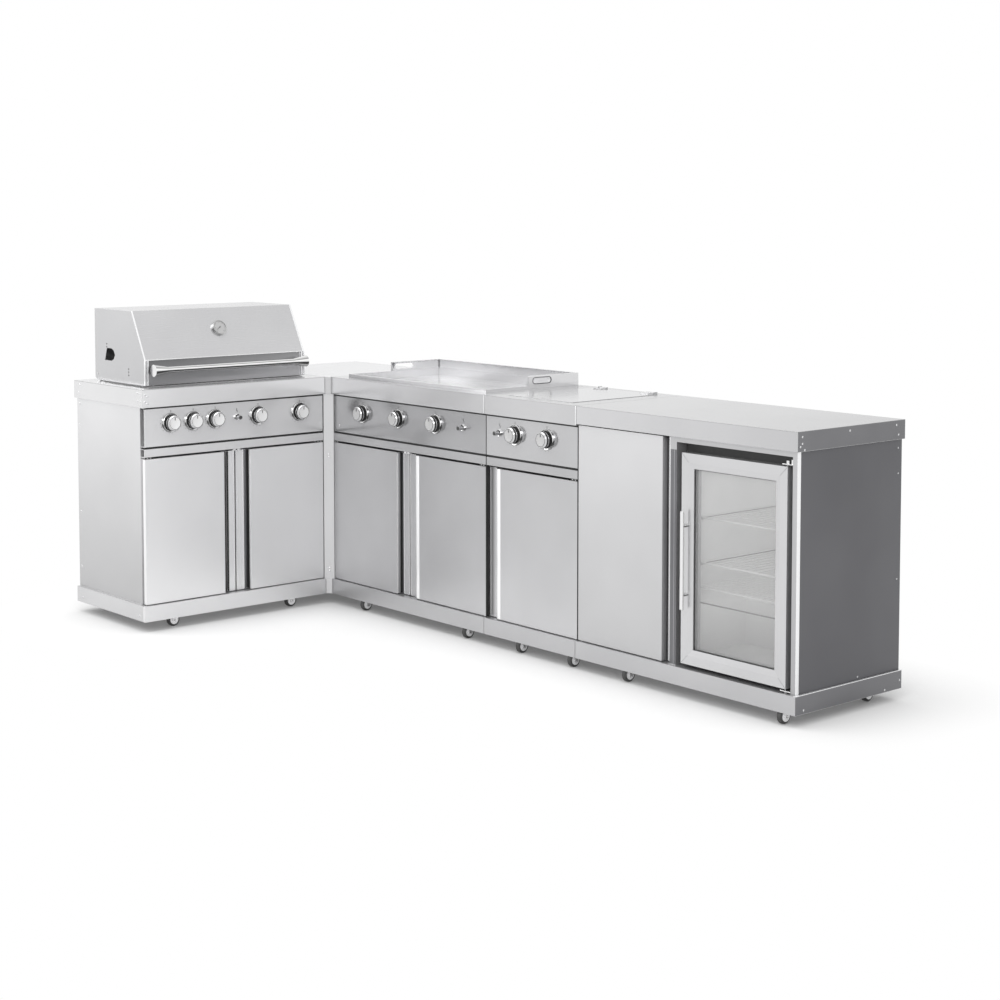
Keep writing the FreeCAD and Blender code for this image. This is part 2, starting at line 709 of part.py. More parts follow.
# Doors: one folded section with a recessed pull strip, closed by end caps that hold the pivot holes
def door(node, frame, edge, side, width, top, strip, groove):
    """A door whose hinge edge is at u = edge; side is + when it runs to the right of it."""
    body = start(node, frame)

    def at(offset):
        return f"{edge} {side} ({offset})"

    panel = f"{width} - {strip} - {groove}"
    step = f"{width} - {strip}"
    back = "door_depth"
    sheet_in = "door_sheet"
    outline = [
        (at("door_chamfer"), back), (at("0"), f"{back} - door_chamfer"), (at("0"), "0"), (at(panel), "0"),
        (at(panel), "groove_depth"), (at(step), "groove_depth"), (at(step), "strip_depth"),
        (at(width), "strip_depth"), (at(width), back),
    ]
    inner = [
        (at(f"{width} - {strip} / 2"), back), (at(f"{width} - {strip} / 2"), f"{back} - {sheet_in}"),
        (at(f"{width} - {sheet_in}"), f"{back} - {sheet_in}"),
        (at(f"{width} - {sheet_in}"), f"strip_depth + {sheet_in}"),
        (at(f"{step} + {sheet_in}"), f"strip_depth + {sheet_in}"),
        (at(f"{step} + {sheet_in}"), f"groove_depth + {sheet_in}"),
        (at(f"{panel} - {sheet_in}"), f"groove_depth + {sheet_in}"),
        (at(f"{panel} - {sheet_in}"), sheet_in), (at(sheet_in), sheet_in),
        (at(sheet_in), f"{back} - door_chamfer - {MITRE} * {sheet_in}"),
        (at(f"door_chamfer + {MITRE} * {sheet_in}"), f"{back} - {sheet_in}"),
        (at("door_hem"), f"{back} - {sheet_in}"), (at("door_hem"), back),
    ]
    solid(body, "z", [outline + inner], "door_bottom", top)
    solid(body, "z", [outline], "door_bottom", f"door_bottom + {sheet_in}")
    solid(body, "z", [outline], f"{top} - {sheet_in}", top)
    hollow(body, "z", [(at("pivot_inset"), "pivot_depth", "pivot_radius + pivot_play")], "door_bottom", top)
    return body


for module, frame, width in (("grill", "grill", "grill_width"), ("griddle", "griddle", "griddle_width")):
    leaf = f"({width} / 2 - 2 * door_gap)"
    door(f"{module}_door_left", frame, "door_gap", "+", leaf, "door_top", "strip_width", "groove_width")
    door(f"{module}_door_right", frame, f"{width} - door_gap", "-", leaf, "door_top", "strip_width",
         "groove_width")
door("side_door", "side", "side_width - door_gap", "-", "(side_width - 2 * door_gap)", "door_top",
     "strip_width", "groove_width")
door("storage_door", "cold", "door_gap", "+", "cold_door_width", "cold_door_top",
     "cold_strip_width", "cold_groove_width")

# Grill hood: one folded shell with open underside, on pins through its cheeks
hood = start("grill_hood", "grill")
hood_left = "hood_inset"
hood_right = "grill_width - hood_inset"
tail = "sqrt((hinge_rise - hood_lift) * (hinge_rise - hood_lift) - hinge_back * hinge_back)"
solid(hood, "x", [[
    ("hood_front", "hood_low"), ("hinge_v", "hood_low"), ("hood_back", f"hinge_z - {tail}"),
    ("hood_back", "hood_top"), ("hood_top_front", "hood_top"), ("hood_front", "hood_band_top"),
]], hood_left, hood_right)
hollow(hood, "x", [[
    ("hood_front + hood_wall", "top_height"), ("hood_back - hood_wall", "top_height"),
    ("hood_back - hood_wall", "hood_top - hood_wall"), ("hood_top_front + hood_wall", "hood_top - hood_wall"),
    ("hood_front + hood_wall", "hood_band_top"),
]], f"{hood_left} + hood_wall", f"{hood_right} - hood_wall")
hollow(hood, "y", [
    rect("hood_inset + hood_wall", "top_height", "hood_inset + hood_wall + notch_width",
         "hinge_z + notch_rise"),
    rect("grill_width - hood_inset - hood_wall - notch_width", "top_height",
         "grill_width - hood_inset - hood_wall", "hinge_z + notch_rise"),
], "hood_back - 2 * hood_wall", "hood_back")
hollow(hood, "x", [("hinge_v", "hinge_z", "hinge_pin_radius + pivot_play")], hood_left, hood_right)
SPIT_OUTLINE = [(0.9, 1.0), (-0.6, 1.0), (-1.3, 0.7), (-1.7, 0.0), (-1.3, -0.7), (-0.6, -1.0), (1.6, -1.0)]
hollow(hood, "x", [[
    (f"hood_front + spit_hole_depth + ({across}) * spit_hole_radius",
     f"hood_low + spit_hole_rise + ({up}) * spit_hole_radius") for across, up in SPIT_OUTLINE
]], hood_left, hood_right)

handle = start("hood_handle", "grill", "grill_width / 2", "hood_front - handle_reach",
               "hood_low + handle_rise")
half = "(grill_width / 2 - hood_inset - handle_inset)"
turned(handle, [[
    (f"-{half}", "0"), (f"-{half}", "cone_radius"), (f"-{half} + cone_length", "handle_radius"),
    (f"{half} - cone_length", "handle_radius"), (f"{half}", "cone_radius"), (f"{half}", "0"),
]], "x")
solid(handle, "y", [(f"-{half} + cone_length / 2", "0", "post_radius"),
                    (f"{half} - cone_length / 2", "0", "post_radius")],
      "0", "handle_reach")

# The dial stands square on the hood's sloping face
dial = start("hood_thermometer", "grill", "grill_width / 2",
             "hood_front + slope_run * dial_share / slope_rise",
             "hood_band_top + dial_share")
dial_pad = solid(dial, "y", [("0", "0", "dial_radius")], "-dial_depth", "0")
dial_sketch = dial_pad.Profile[0]
lean = FreeCAD.Rotation(FreeCAD.Vector(-1, 0, 0), 1)
dial_sketch.AttachmentOffset = FreeCAD.Placement(FreeCAD.Vector(), lean)
link(dial_sketch, "AttachmentOffset.Rotation.Angle", "atan(slope_run / slope_rise)")
link(dial_sketch, "AttachmentOffset.Base.z", "0")
rim = draw(dial, "y", [("0", "0", "dial_radius - seam"), ("0", "0", "dial_radius - 2 * seam")])
rim.AttachmentOffset = FreeCAD.Placement(FreeCAD.Vector(), lean)
link(rim, "AttachmentOffset.Rotation.Angle", "atan(slope_run / slope_rise)")
link(rim, "AttachmentOffset.Base.z", "0")
rim_pad = dial.newObject("PartDesign::Pad", "hood_thermometer_rim")
rim_pad.Profile = rim
link(rim_pad, "Length", "dial_depth + seam")

# Firebox: a liner hung by its flange, with ledges for grates and tamers and rails for the drip tray
firebox = start("firebox", "grill")
fire = ("firebox_inset", "firebox_front", "grill_width - firebox_inset", "firebox_back")
fire_low = "top_height - firebox_depth"
solid(firebox, "z", [rect(*fire), inset(*fire, "firebox_wall")], fire_low, "top_height")
solid(firebox, "z", [inset(*fire, "(-firebox_flange)"), inset(*fire, "firebox_wall")],
      "top_height", "top_height + firebox_wall")
solid(firebox, "z", [rect(*fire), inset(*fire, "grease_inset")], fire_low, f"{fire_low} + firebox_wall")
for level in ("top_height - grate_drop - grate_bar", "top_height - firebox_depth + tamer_level"):
    solid(firebox, "z", [rect(*fire), inset(*fire, "ledge_width")], f"{level} - firebox_wall", level)
BURNERS = 5
fire_tubes = [(f"firebox_inset + (grill_width - 2 * firebox_inset) * {2 * index + 1} / {2 * BURNERS}",
               "knob_level + burner_radius", "burner_radius + pivot_play") for index in range(BURNERS)]
hollow(firebox, "y", fire_tubes, "firebox_front", "firebox_front + firebox_wall")
for side, edge in (("+", "firebox_inset + rail_inset"), ("-", "grill_width - firebox_inset - rail_inset")):
    foot = f"{edge} {side} rail_foot"
    web = f"{edge} {side} firebox_wall"
    low_u, high_u = (edge, foot) if side == "+" else (foot, edge)
    low_w, high_w = (edge, web) if side == "+" else (web, edge)
    block(firebox, low_w, high_w, "drip_front", "drip_back", f"{fire_low} - rail_drop", fire_low)
    block(firebox, low_u, high_u, "drip_front", "drip_back", f"{fire_low} - rail_drop",
          f"{fire_low} - rail_drop + firebox_wall")

# Drip tray: a shallow pan that slides on the rails
drip = start("drip_tray", "grill")
drip_edges = ("firebox_inset + rail_inset + firebox_wall + fit_play", "drip_front",
              "grill_width - firebox_inset - rail_inset - firebox_wall - fit_play", "drip_back")
drip_top = f"{fire_low} - rail_drop + 2 * firebox_wall"
drip_pan = inset(*drip_edges, "rail_foot")
solid(drip, "z", [rect(*drip_edges), inset(*drip_edges, "rail_foot + firebox_wall")],
      f"{drip_top} - firebox_wall", drip_top)
solid(drip, "z", [drip_pan, inset(*drip_edges, "rail_foot + firebox_wall")],
      f"{drip_top} - drip_depth", f"{drip_top} - firebox_wall")
solid(drip, "z", [drip_pan], f"{drip_top} - drip_depth - firebox_wall", f"{drip_top} - drip_depth")


# Burner sets: a gas manifold with a stub to each valve and one tube to each burner
def burner_set(node, frame, knobs, tubes, level, tube_back):
    """Manifold along u, stubs to the knobs, risers and tubes to the back."""
    body = start(node, frame)
    first, last = knobs[0], knobs[-1]
    solid(body, "x", [("manifold_depth", "knob_level", "manifold_radius")],
          f"{first} - manifold_end", f"{last} + manifold_end")
    solid(body, "y", [(u, "knob_level", "stem_radius + seam") for u in knobs], "stem_back + stem_play",
          "manifold_depth")
    solid(body, "z", [(u, "manifold_depth", "stem_radius + seam") for u in tubes], "knob_level", level)
    solid(body, "y", [(u, level, "burner_radius") for u in tubes], "manifold_depth - stem_radius - tube_lap",
          tube_back)
    return body


burner_set("grill_burners", "grill", GRILL_KNOBS, [u for u, _, _ in fire_tubes],
           "(knob_level + burner_radius)",
           "firebox_back - firebox_wall")
burner_set("griddle_burners", "griddle", GRIDDLE_KNOBS, GRIDDLE_KNOBS, "(knob_level + griddle_burner_rise)",
           "tray_back - tray_hem - tray_wall")

# Flame tamers over the burner tubes
tamers = start("flame_tamers", "grill")
tamer_low = "(top_height - firebox_depth + tamer_level)"
for u, _, _ in fire_tubes:
    left, right = f"{u} - tamer_width / 2", f"{u} + tamer_width / 2"
    solid(tamers, "y", [[
        (left, tamer_low), (u, f"{tamer_low} + tamer_rise"), (right, tamer_low),
        (f"{right} - 2 * firebox_wall", tamer_low), (u, f"{tamer_low} + tamer_rise - 2 * firebox_wall"),
        (f"{left} + 2 * firebox_wall", tamer_low),
    ]], "firebox_front + firebox_wall + fit_play", "firebox_back - firebox_wall - fit_play")

# Cooking grates: bars over cross bars, resting on the firebox ledge
grates = start("cooking_grates", "grill")
grate_left = "firebox_inset + firebox_wall + grate_bar"
grate_right = "grill_width - firebox_inset - firebox_wall - grate_bar"
grate_top = "top_height - grate_drop"
grate_front = "firebox_front + firebox_wall + fit_play"
grate_back = "firebox_back - firebox_wall - fit_play"
for v in (grate_front, f"{grate_back} - grate_bar", "(firebox_front + firebox_back) / 2"):
    block(grates, grate_left, grate_right, v, f"{v} + grate_bar", f"{grate_top} - grate_bar", grate_top)
first_bar = block(grates, grate_left, f"{grate_left} + grate_bar", grate_front, grate_back,
                  f"{grate_top} - grate_bar", grate_top)
grate_count = f"floor(({grate_right} - ({grate_left}) - grate_bar) / grate_pitch) + 1"
grate_step = f"(({grate_right} - ({grate_left}) - grate_bar) / ({grate_count} - 1))"
repeat(grates, first_bar, "x", grate_step, grate_count)

# Warming rack: a wire frame on four legs over the back of the firebox
rack = start("warming_rack", "grill")
rack_left = "firebox_inset - firebox_flange / 2"
rack_right = "grill_width - firebox_inset + firebox_flange / 2"
rack_level = "top_height + rack_rise"
for v in ("rack_front", "rack_back"):
    solid(rack, "x", [(v, rack_level, "rail_wire_radius")], rack_left, rack_right)
solid(rack, "z", [(u, v, "wire_radius") for u in (rack_left, rack_right)
                  for v in ("rack_front", "rack_back")],
      "top_height + firebox_wall", rack_level)
first_wire = solid(rack, "y", [(rack_left, rack_level, "wire_radius")], "rack_front", "rack_back")
rack_count = f"floor(({rack_right} - ({rack_left})) / wire_pitch) + 1"
repeat(rack, first_wire, "x", f"(({rack_right} - ({rack_left})) / ({rack_count} - 1))", rack_count)

# Griddle: a deep tray with a raised rim, hung in the worktop
tray = start("griddle_tray", "griddle")
rim_edges = ("tray_inset", "tray_front", "griddle_width - tray_inset", "tray_back")
tray_low = "rim_top - tray_depth"
solid(tray, "z", [rect(*rim_edges), inset(*rim_edges, "tray_hem + tray_wall")], "top_height", "rim_top")
solid(tray, "z", [inset(*rim_edges, "tray_hem"), inset(*rim_edges, "tray_hem + tray_wall")], tray_low,
      "top_height")
solid(tray, "z", [inset(*rim_edges, "tray_hem")], tray_low, f"{tray_low} + tray_wall")
plate_low = "top_height - plate_drop - plate_thick"
solid(tray, "z", [inset(*rim_edges, "tray_hem"), inset(*rim_edges, "tray_hem + tray_wall + ledge_width")],
      f"{plate_low} - tray_wall", plate_low)
hollow(tray, "y", [(u, "knob_level + griddle_burner_rise", "burner_radius + pivot_play")
                   for u in GRIDDLE_KNOBS],
       "tray_front + tray_hem", "tray_front + tray_hem + tray_wall")
PAN_IN = "tray_inset + tray_hem + tray_wall + fit_play"
plate_left, plate_right = PAN_IN, f"griddle_width - ({PAN_IN})"
plate_front = "tray_front + tray_hem + tray_wall + fit_play"
plate_back = "tray_back - tray_hem - tray_wall - fit_play"

# Griddle plate: thick plate with a grease trough folded down along its front
plate = start("griddle_plate", "griddle")
block(plate, plate_left, plate_right, f"{plate_front} + trough_width", plate_back, plate_low,
      f"{plate_low} + plate_thick")
trough_left, trough_right = f"{plate_left} + trough_inset", f"{plate_right} - trough_inset"
solid(plate, "x", [[
    (plate_front, f"{plate_low} + plate_thick"), (plate_front, plate_low),
    (f"{plate_front} + ledge_width + seam", plate_low),
    (f"{plate_front} + ledge_width + seam", f"{plate_low} - trough_depth"),
    (f"{plate_front} + trough_width + tray_wall", f"{plate_low} - trough_depth"),
    (f"{plate_front} + trough_width + tray_wall", f"{plate_low} + tray_wall"),
    (f"{plate_front} + trough_width", f"{plate_low} + tray_wall"),
    (f"{plate_front} + trough_width", f"{plate_low} - trough_depth + tray_wall"),
    (f"{plate_front} + ledge_width + seam + tray_wall", f"{plate_low} - trough_depth + tray_wall"),
    (f"{plate_front} + ledge_width + seam + tray_wall", f"{plate_low} + tray_wall"),
    (f"{plate_front} + tray_wall", f"{plate_low} + tray_wall"),
    (f"{plate_front} + tray_wall", f"{plate_low} + plate_thick"),
]], trough_left, trough_right)
for left in (trough_left, f"{trough_right} - tray_wall"):
    block(plate, left, f"{left} + tray_wall", f"{plate_front} + ledge_width + seam",
          f"{plate_front} + trough_width + tray_wall",
          f"{plate_low} - trough_depth", f"{plate_low} + plate_thick")

# Wind guard: three walls with an in-turned top edge, finger slots and front gussets
guard = start("wind_guard", "griddle")
guard_left, guard_right = "tray_inset", "griddle_width - tray_inset"
guard_top = "rim_top + guard_height"


def guard_plan(by):
    """Plan of the guard drawn in by a distance, open to the front."""
    return [(guard_left, "guard_front"), (guard_left, "tray_back"), (guard_right, "tray_back"),
            (guard_right, "guard_front"), (f"{guard_right} - ({by})", "guard_front"),
            (f"{guard_right} - ({by})", f"tray_back - ({by})"),
            (f"{guard_left} + ({by})", f"tray_back - ({by})"),
            (f"{guard_left} + ({by})", "guard_front")]


solid(guard, "z", [guard_plan("guard_sheet")], "rim_top", guard_top)
solid(guard, "z", [guard_plan("guard_return")], f"{guard_top} - guard_sheet", guard_top)
solid(guard, "z", [guard_plan("guard_return - guard_sheet")], "rim_top", "rim_top + guard_sheet")
slot_front = "guard_front + guard_slot_start"
slot_back = f"{slot_front} + guard_slot_length"
slot_half = "guard_slot_height / 2"
slot_mid = "rim_top + guard_height / 2"
for low_u, high_u in ((guard_left, f"{guard_left} + guard_sheet"),
                      (f"{guard_right} - guard_sheet", guard_right)):
    hollow(guard, "x", [rect(f"{slot_front} + {slot_half}", f"{slot_mid} - {slot_half}",
                             f"{slot_back} - {slot_half}",
                             f"{slot_mid} + {slot_half}")], low_u, high_u)
    hollow(guard, "x", [(f"{slot_front} + {slot_half}", slot_mid, slot_half),
                        (f"{slot_back} - {slot_half}", slot_mid, slot_half)],
           low_u, high_u)
for edge, side in ((guard_left, "+"), (guard_right, "-")):
    solid(guard, "y", [[(edge, "rim_top"), (f"{edge} {side} guard_height / 2", "rim_top"),
                        (f"{edge} {side} guard_sheet", f"{guard_top} - guard_sheet"),
                        (edge, f"{guard_top} - guard_sheet")]],
          "guard_front", "guard_front + guard_sheet")

# Side burner: a bowl under the worktop opening, a ring burner, a pan support and a flush lid
bowl = start("burner_bowl", "side")
lid_edges = ("lid_inset", "lid_front", "side_width - lid_inset", "lid_back")
ledge_top = "lid_top - lid_thick - seat_gap"
bowl_low = "under_top - bowl_depth"
solid(bowl, "z", [inset(*lid_edges, "(-lid_play - bowl_inset)"), inset(*lid_edges, "(-lid_play)")],
      "under_top - wall", "under_top")
solid(bowl, "z", [inset(*lid_edges, "(-lid_play - wall)"), inset(*lid_edges, "(-lid_play)")], ledge_top,
      "under_top - wall")
solid(bowl, "z", [inset(*lid_edges, "(-lid_play - wall)"), inset(*lid_edges, "bowl_inset")],
      f"{ledge_top} - wall", ledge_top)
solid(bowl, "z", [inset(*lid_edges, "bowl_inset - wall"), inset(*lid_edges, "bowl_inset")], bowl_low,
      f"{ledge_top} - wall")
solid(bowl, "z", [inset(*lid_edges, "bowl_inset - wall")], bowl_low, f"{bowl_low} + wall")
ring = start("ring_burner", "side", "side_width / 2", "(lid_front + lid_back) / 2", bowl_low)
solid(ring, "z", [("0", "0", "ring_radius / 2")], "wall", "wall + ring_height / 2")
solid(ring, "z", [("0", "0", "ring_radius")], "wall + ring_height / 2", "wall + ring_height")
solid(ring, "z", [("0", "0", "ring_radius"), ("0", "0", "ring_radius / 2 + seam")], "wall + ring_height",
      "wall + ring_height + 2 * seam")
solid(ring, "x", [("0", "wall + ring_height * 3 / 4", "stem_radius")], "ring_radius - seam",
      "side_width / 2 - lid_inset - bowl_inset")
support = start("pan_support", "side")
support_top = "top_height - support_drop"
support_edges = inset(*lid_edges, "support_inset")
support_low = f"{bowl_low} + wall"
solid(support, "z", [support_edges, inset(*lid_edges, "support_inset + support_bar")],
      f"{support_top} - support_bar", support_top)
for u in ("side_width / 2 - ring_radius", "side_width / 2 + ring_radius - support_bar"):
    block(support, u, f"{u} + support_bar", "lid_front + support_inset", "lid_back - support_inset",
          f"{support_top} - support_bar", support_top)
for v in ("(lid_front + lid_back) / 2 - ring_radius",
          "(lid_front + lid_back) / 2 + ring_radius - support_bar"):
    block(support, "lid_inset + support_inset", "side_width - lid_inset - support_inset", v,
          f"{v} + support_bar",
          f"{support_top} - support_bar", support_top)
leg_spots = [(u, v) for u in ("lid_inset + support_inset",
                              "side_width - lid_inset - support_inset - support_bar")
             for v in ("lid_front + support_inset", "lid_back - support_inset - support_bar")]
solid(support, "z", [rect(u, v, f"{u} + support_bar", f"{v} + support_bar") for u, v in leg_spots],
      support_low, support_top)

lid = start("side_lid", "side")
lid_low = "lid_top - lid_thick"
solid(lid, "z", [rect(*lid_edges), inset(*lid_edges, "wall")], lid_low, "lid_top - wall")
solid(lid, "z", [rect(*lid_edges)], "lid_top - wall", "lid_top")
leaf_left = f"{lug_left} + fit_play"
for low_u, high_u in ((leaf_left, f"{leaf_left} + leaf_width"),
                      (f"side_width - ({leaf_left}) - leaf_width", f"side_width - ({leaf_left})")):
    block(lid, low_u, high_u, "lid_back - leaf_reach", "lid_hinge_v", "lid_top", "lid_top + lug_sheet")
    solid(lid, "x", [("lid_hinge_v", "lid_hinge_z", "barrel_radius")], low_u, high_u)
    hollow(lid, "x", [("lid_hinge_v", "lid_hinge_z", "lid_pin_radius + pivot_play")], low_u, high_u)

# Fridge body: an insulated box open to the front, with a compressor step and shelf ribs
fridge = start("fridge_body", "cold")
fridge_low = "plinth_top"
fridge_back = "cabinet_depth - fridge_back_play"
solid(fridge, "z", [rect("fridge_left", "fridge_front", "fridge_right", fridge_back)], fridge_low,
      "fridge_top")
hollow(fridge, "y", [rect("fridge_left + fridge_wall", f"{fridge_low} + fridge_wall",
                          "fridge_right - fridge_wall",
                          "fridge_top - fridge_wall")], "fridge_front", f"{fridge_back} - fridge_wall")
block(fridge, "fridge_left + fridge_wall", "fridge_right - fridge_wall",
      f"{fridge_back} - fridge_wall - step_depth",
      f"{fridge_back} - fridge_wall", f"{fridge_low} + fridge_wall",
      f"{fridge_low} + fridge_wall + step_height")
for level in ("shelf_low", "shelf_high"):
    for low_u, high_u in (("fridge_left + fridge_wall", "fridge_left + fridge_wall + rib_width"),
                          ("fridge_right - fridge_wall - rib_width", "fridge_right - fridge_wall")):
        block(fridge, low_u, high_u, "fridge_front + rib_start", f"{fridge_back} - fridge_wall",
              f"{level} - rail_wire_radius - rib_height", f"{level} - rail_wire_radius")

# Fridge door: a frame with a sloping inner edge that holds a glass pane in its groove
frame_edges = ("fridge_door_left", "fridge_door_low", "fridge_door_right", "fridge_door_high")
frame = start("fridge_door_frame", "cold")
solid(frame, "y", [rect(*frame_edges), inset(*frame_edges, "stile_width")], "0", "fridge_door_depth")
hollow(frame, "y", [inset(*frame_edges, "stile_width - glass_seat")],
       "fridge_door_depth - glass_back - glass_thick",
       "fridge_door_depth - glass_back")
slope = frame.newObject("PartDesign::SubtractiveLoft", "fridge_door_slope")
slope_outer = draw(frame, "y", [inset(*frame_edges, "stile_width - stile_bevel")], "0")
slope_inner = draw(frame, "y", [inset(*frame_edges, "stile_width")], "stile_slope")
slope.Profile = slope_outer
slope.Sections = [slope_inner]
slope.Ruled = True
frame.Tip = slope
hollow(frame, "z", [(fridge_pin_u, "cold_pivot_depth", "pivot_radius + pivot_play")], "fridge_door_low",
       "fridge_door_low + pivot_bore")
hollow(frame, "z", [(fridge_pin_u, "cold_pivot_depth", "pivot_radius + pivot_play")],
       "fridge_door_high - pivot_bore",
       "fridge_door_high")
glass = start("fridge_glass", "cold")
solid(glass, "y", [inset(*frame_edges, "stile_width - glass_seat")],
      "fridge_door_depth - glass_back - glass_thick",
      "fridge_door_depth - glass_back")
bar = start("fridge_handle", "cold")
bar_u = "fridge_door_left + bar_inset"
solid(bar, "z", [(bar_u, "-bar_reach", "bar_radius")], "bar_low", "bar_high")
solid(bar, "y", [(bar_u, "bar_low + bar_foot_inset", "bar_radius"),
                 (bar_u, "bar_high - bar_foot_inset", "bar_radius")],
      "-bar_reach", "0")

# Wire shelves of the fridge
shelves = start("fridge_shelves", "cold")
shelf_left = "fridge_left + fridge_wall + seam"
shelf_right = "fridge_right - fridge_wall - seam"
shelf_front = "fridge_front + rib_start"
shelf_back = f"{fridge_back} - fridge_wall - seam - rail_wire_radius"
for level in ("shelf_low", "shelf_high"):
    for v in (shelf_front, shelf_back):
        solid(shelves, "x", [(v, level, "rail_wire_radius")], shelf_left, shelf_right)
wires = solid(shelves, "y", [(f"{shelf_left} + rail_wire_radius", level, "wire_radius")
                             for level in ("shelf_low", "shelf_high")],
              shelf_front, shelf_back)
shelf_run = f"({shelf_right} - ({shelf_left}) - 2 * rail_wire_radius)"
shelf_count = f"floor({shelf_run} / wire_pitch) + 1"
repeat(shelves, wires, "x", f"({shelf_run} / ({shelf_count} - 1))", shelf_count)

# Casters: one fork and one wheel are drawn once and repeated under every cabinet
fork = start("caster_fork", "part", export=False)
half_plate = "caster_plate / 2"
solid(fork, "z", [rect(f"-{half_plate}", f"-{half_plate}", half_plate, half_plate)],
      "plinth_top - wall - fork_plate", "plinth_top - wall")
solid(fork, "z", [("0", "0", "post_radius + seam")], "fork_height", "plinth_top - wall - fork_plate")
fork_half = "wheel_width / 2 + fork_play + fork_sheet"
solid(fork, "z", [rect(f"-({fork_half})", "-caster_trail - hub_radius / 2", fork_half, "post_radius + seam")],
      "fork_height - fork_sheet", "fork_height")
fork_plan = [("-caster_trail - hub_radius / 2", "wheel_radius - hub_radius / 2"),
             ("-caster_trail + hub_radius / 2", "wheel_radius - hub_radius / 2"),
             ("post_radius + seam", "fork_height"), ("-caster_trail - hub_radius / 2", "fork_height")]
for low, high in ((f"-({fork_half})", f"-({fork_half}) + fork_sheet"),
                  (f"{fork_half} - fork_sheet", fork_half)):
    solid(fork, "x", [fork_plan], low, high)
solid(fork, "x", [("-caster_trail", "wheel_radius", "axle_radius")], f"-({fork_half})", fork_half)
wheel = start("caster_wheel", "part", export=False)
turned(wheel, [[
    ("-wheel_width / 2", "axle_radius + axle_play"), ("-wheel_width / 2", "hub_radius"),
    ("-wheel_width / 2 + seam", "hub_radius"), ("-wheel_width / 2 + seam", "hub_radius + seam"),
    ("-wheel_width / 2", "hub_radius + seam"), ("-wheel_width / 2", "wheel_radius - 2 * seam"),
    ("-wheel_width / 2 + 2 * seam", "wheel_radius"), ("wheel_width / 2 - 2 * seam", "wheel_radius"),
    ("wheel_width / 2", "wheel_radius - 2 * seam"), ("wheel_width / 2", "hub_radius + seam"),
    ("wheel_width / 2 - seam", "hub_radius + seam"), ("wheel_width / 2 - seam", "hub_radius"),
    ("wheel_width / 2", "hub_radius"), ("wheel_width / 2", "axle_radius + axle_play"),
]], "x")

RUN_CASTERS = []
for base, width, left, right in (("corner_x", "griddle_width", "griddle_caster_left", "griddle_caster_right"),
                                 ("side_x", "side_width", "side_caster_left", "side_caster_right"),
                                 ("cold_x", "cold_width", "cold_caster_left", "cold_caster_right")):
    RUN_CASTERS += [f"{base} + {left}", f"{base} + {width} - {right}"]
run_front = [(x, "corner_y + caster_front") for x in RUN_CASTERS]
run_rear = [(x, "corner_y + cabinet_depth - caster_back") for x in RUN_CASTERS]
WING_X = ["grill_x - caster_front", "grill_x - cabinet_depth + caster_back"]
wing_left = [(x, "grill_y + grill_caster_left") for x in WING_X]
wing_right = [(x, "grill_y + grill_width - grill_caster_right") for x in WING_X]


def copies(node, source, spots, shift_y, level):
    """One node made of copies of a body at the given spots."""
    group = doc.addObject("Part::Compound", node)
    group.Label = node
    parts = []
    for number, (x, y) in enumerate(spots, start=1):
        copy = doc.addObject("App::Link", f"{node}_copy_{number}")
        copy.LinkedObject = source
        link(copy, "Placement.Base.x", x)
        link(copy, "Placement.Base.y", f"{y} + ({shift_y})")
        link(copy, "Placement.Base.z", level)
        parts.append(copy)
    group.Links = parts
    nodes.append(group)


copies("caster_forks", fork, run_front + run_rear + wing_left + wing_right, "0", "0")
copies("run_front_wheels", wheel, run_front, "-caster_trail", "wheel_radius")
copies("run_rear_wheels", wheel, run_rear, "-caster_trail", "wheel_radius")
copies("grill_left_wheels", wheel, wing_left, "-caster_trail", "wheel_radius")
copies("grill_right_wheels", wheel, wing_right, "-caster_trail", "wheel_radius")

doc.recompute()
for thing in doc.Objects:
    if "Invalid" in thing.State or "Error" in thing.State:
        raise RuntimeError(f"{thing.Name} did not compute: {thing.State}")
for before, pocket in cuts:
    if not pocket.Shape.Volume < before.Shape.Volume - 1:
        raise RuntimeError(f"{pocket.Name} cuts nothing away")
for body in nodes:
    if body.Shape.isNull() or not body.Shape.isValid():
        raise RuntimeError(f"{body.Label} has no sound shape")
for body in nodes:
    body.Shape.exportStep(f"parts/{body.Label}.step")
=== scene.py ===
"""Outdoor kitchen island in stainless steel: hooded grill, griddle, side burner and fridge, on casters."""
import math

import bmesh
import bpy
import numpy as np
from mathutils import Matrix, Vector


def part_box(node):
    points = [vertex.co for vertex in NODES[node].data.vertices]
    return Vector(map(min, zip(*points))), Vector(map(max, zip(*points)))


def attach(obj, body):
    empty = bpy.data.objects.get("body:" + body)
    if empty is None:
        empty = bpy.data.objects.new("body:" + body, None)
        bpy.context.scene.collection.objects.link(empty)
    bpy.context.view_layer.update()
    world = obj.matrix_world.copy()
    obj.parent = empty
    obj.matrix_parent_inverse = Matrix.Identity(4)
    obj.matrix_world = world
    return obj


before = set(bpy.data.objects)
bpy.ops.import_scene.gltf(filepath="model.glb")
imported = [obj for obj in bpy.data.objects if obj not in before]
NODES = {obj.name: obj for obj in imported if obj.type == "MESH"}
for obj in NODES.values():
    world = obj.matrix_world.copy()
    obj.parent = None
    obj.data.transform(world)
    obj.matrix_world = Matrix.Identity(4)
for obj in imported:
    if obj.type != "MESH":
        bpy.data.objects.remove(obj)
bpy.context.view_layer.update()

# Studio: a white surround and a pale floor under three large soft lamps, one overhead and one on either
# side. The camera, the metal and the glass see the same white background, and the floor keeps the shadow
# close to the island. There an ambient occlusion ramp darkens the floor's tone and glow as a painted
# contact shadow, on top of the lamps' own shadow.
FLOOR_TONE = (0.80, 0.80, 0.80, 1.0)
FLOOR_GLOW = 0.14
FLOOR_SIZE = 60.0
SHADOW_REACH = 0.05
PAINTED_SHADE_REACH = 0.34
FADE_LENGTH = 0.42
AMBIENT = 0.86
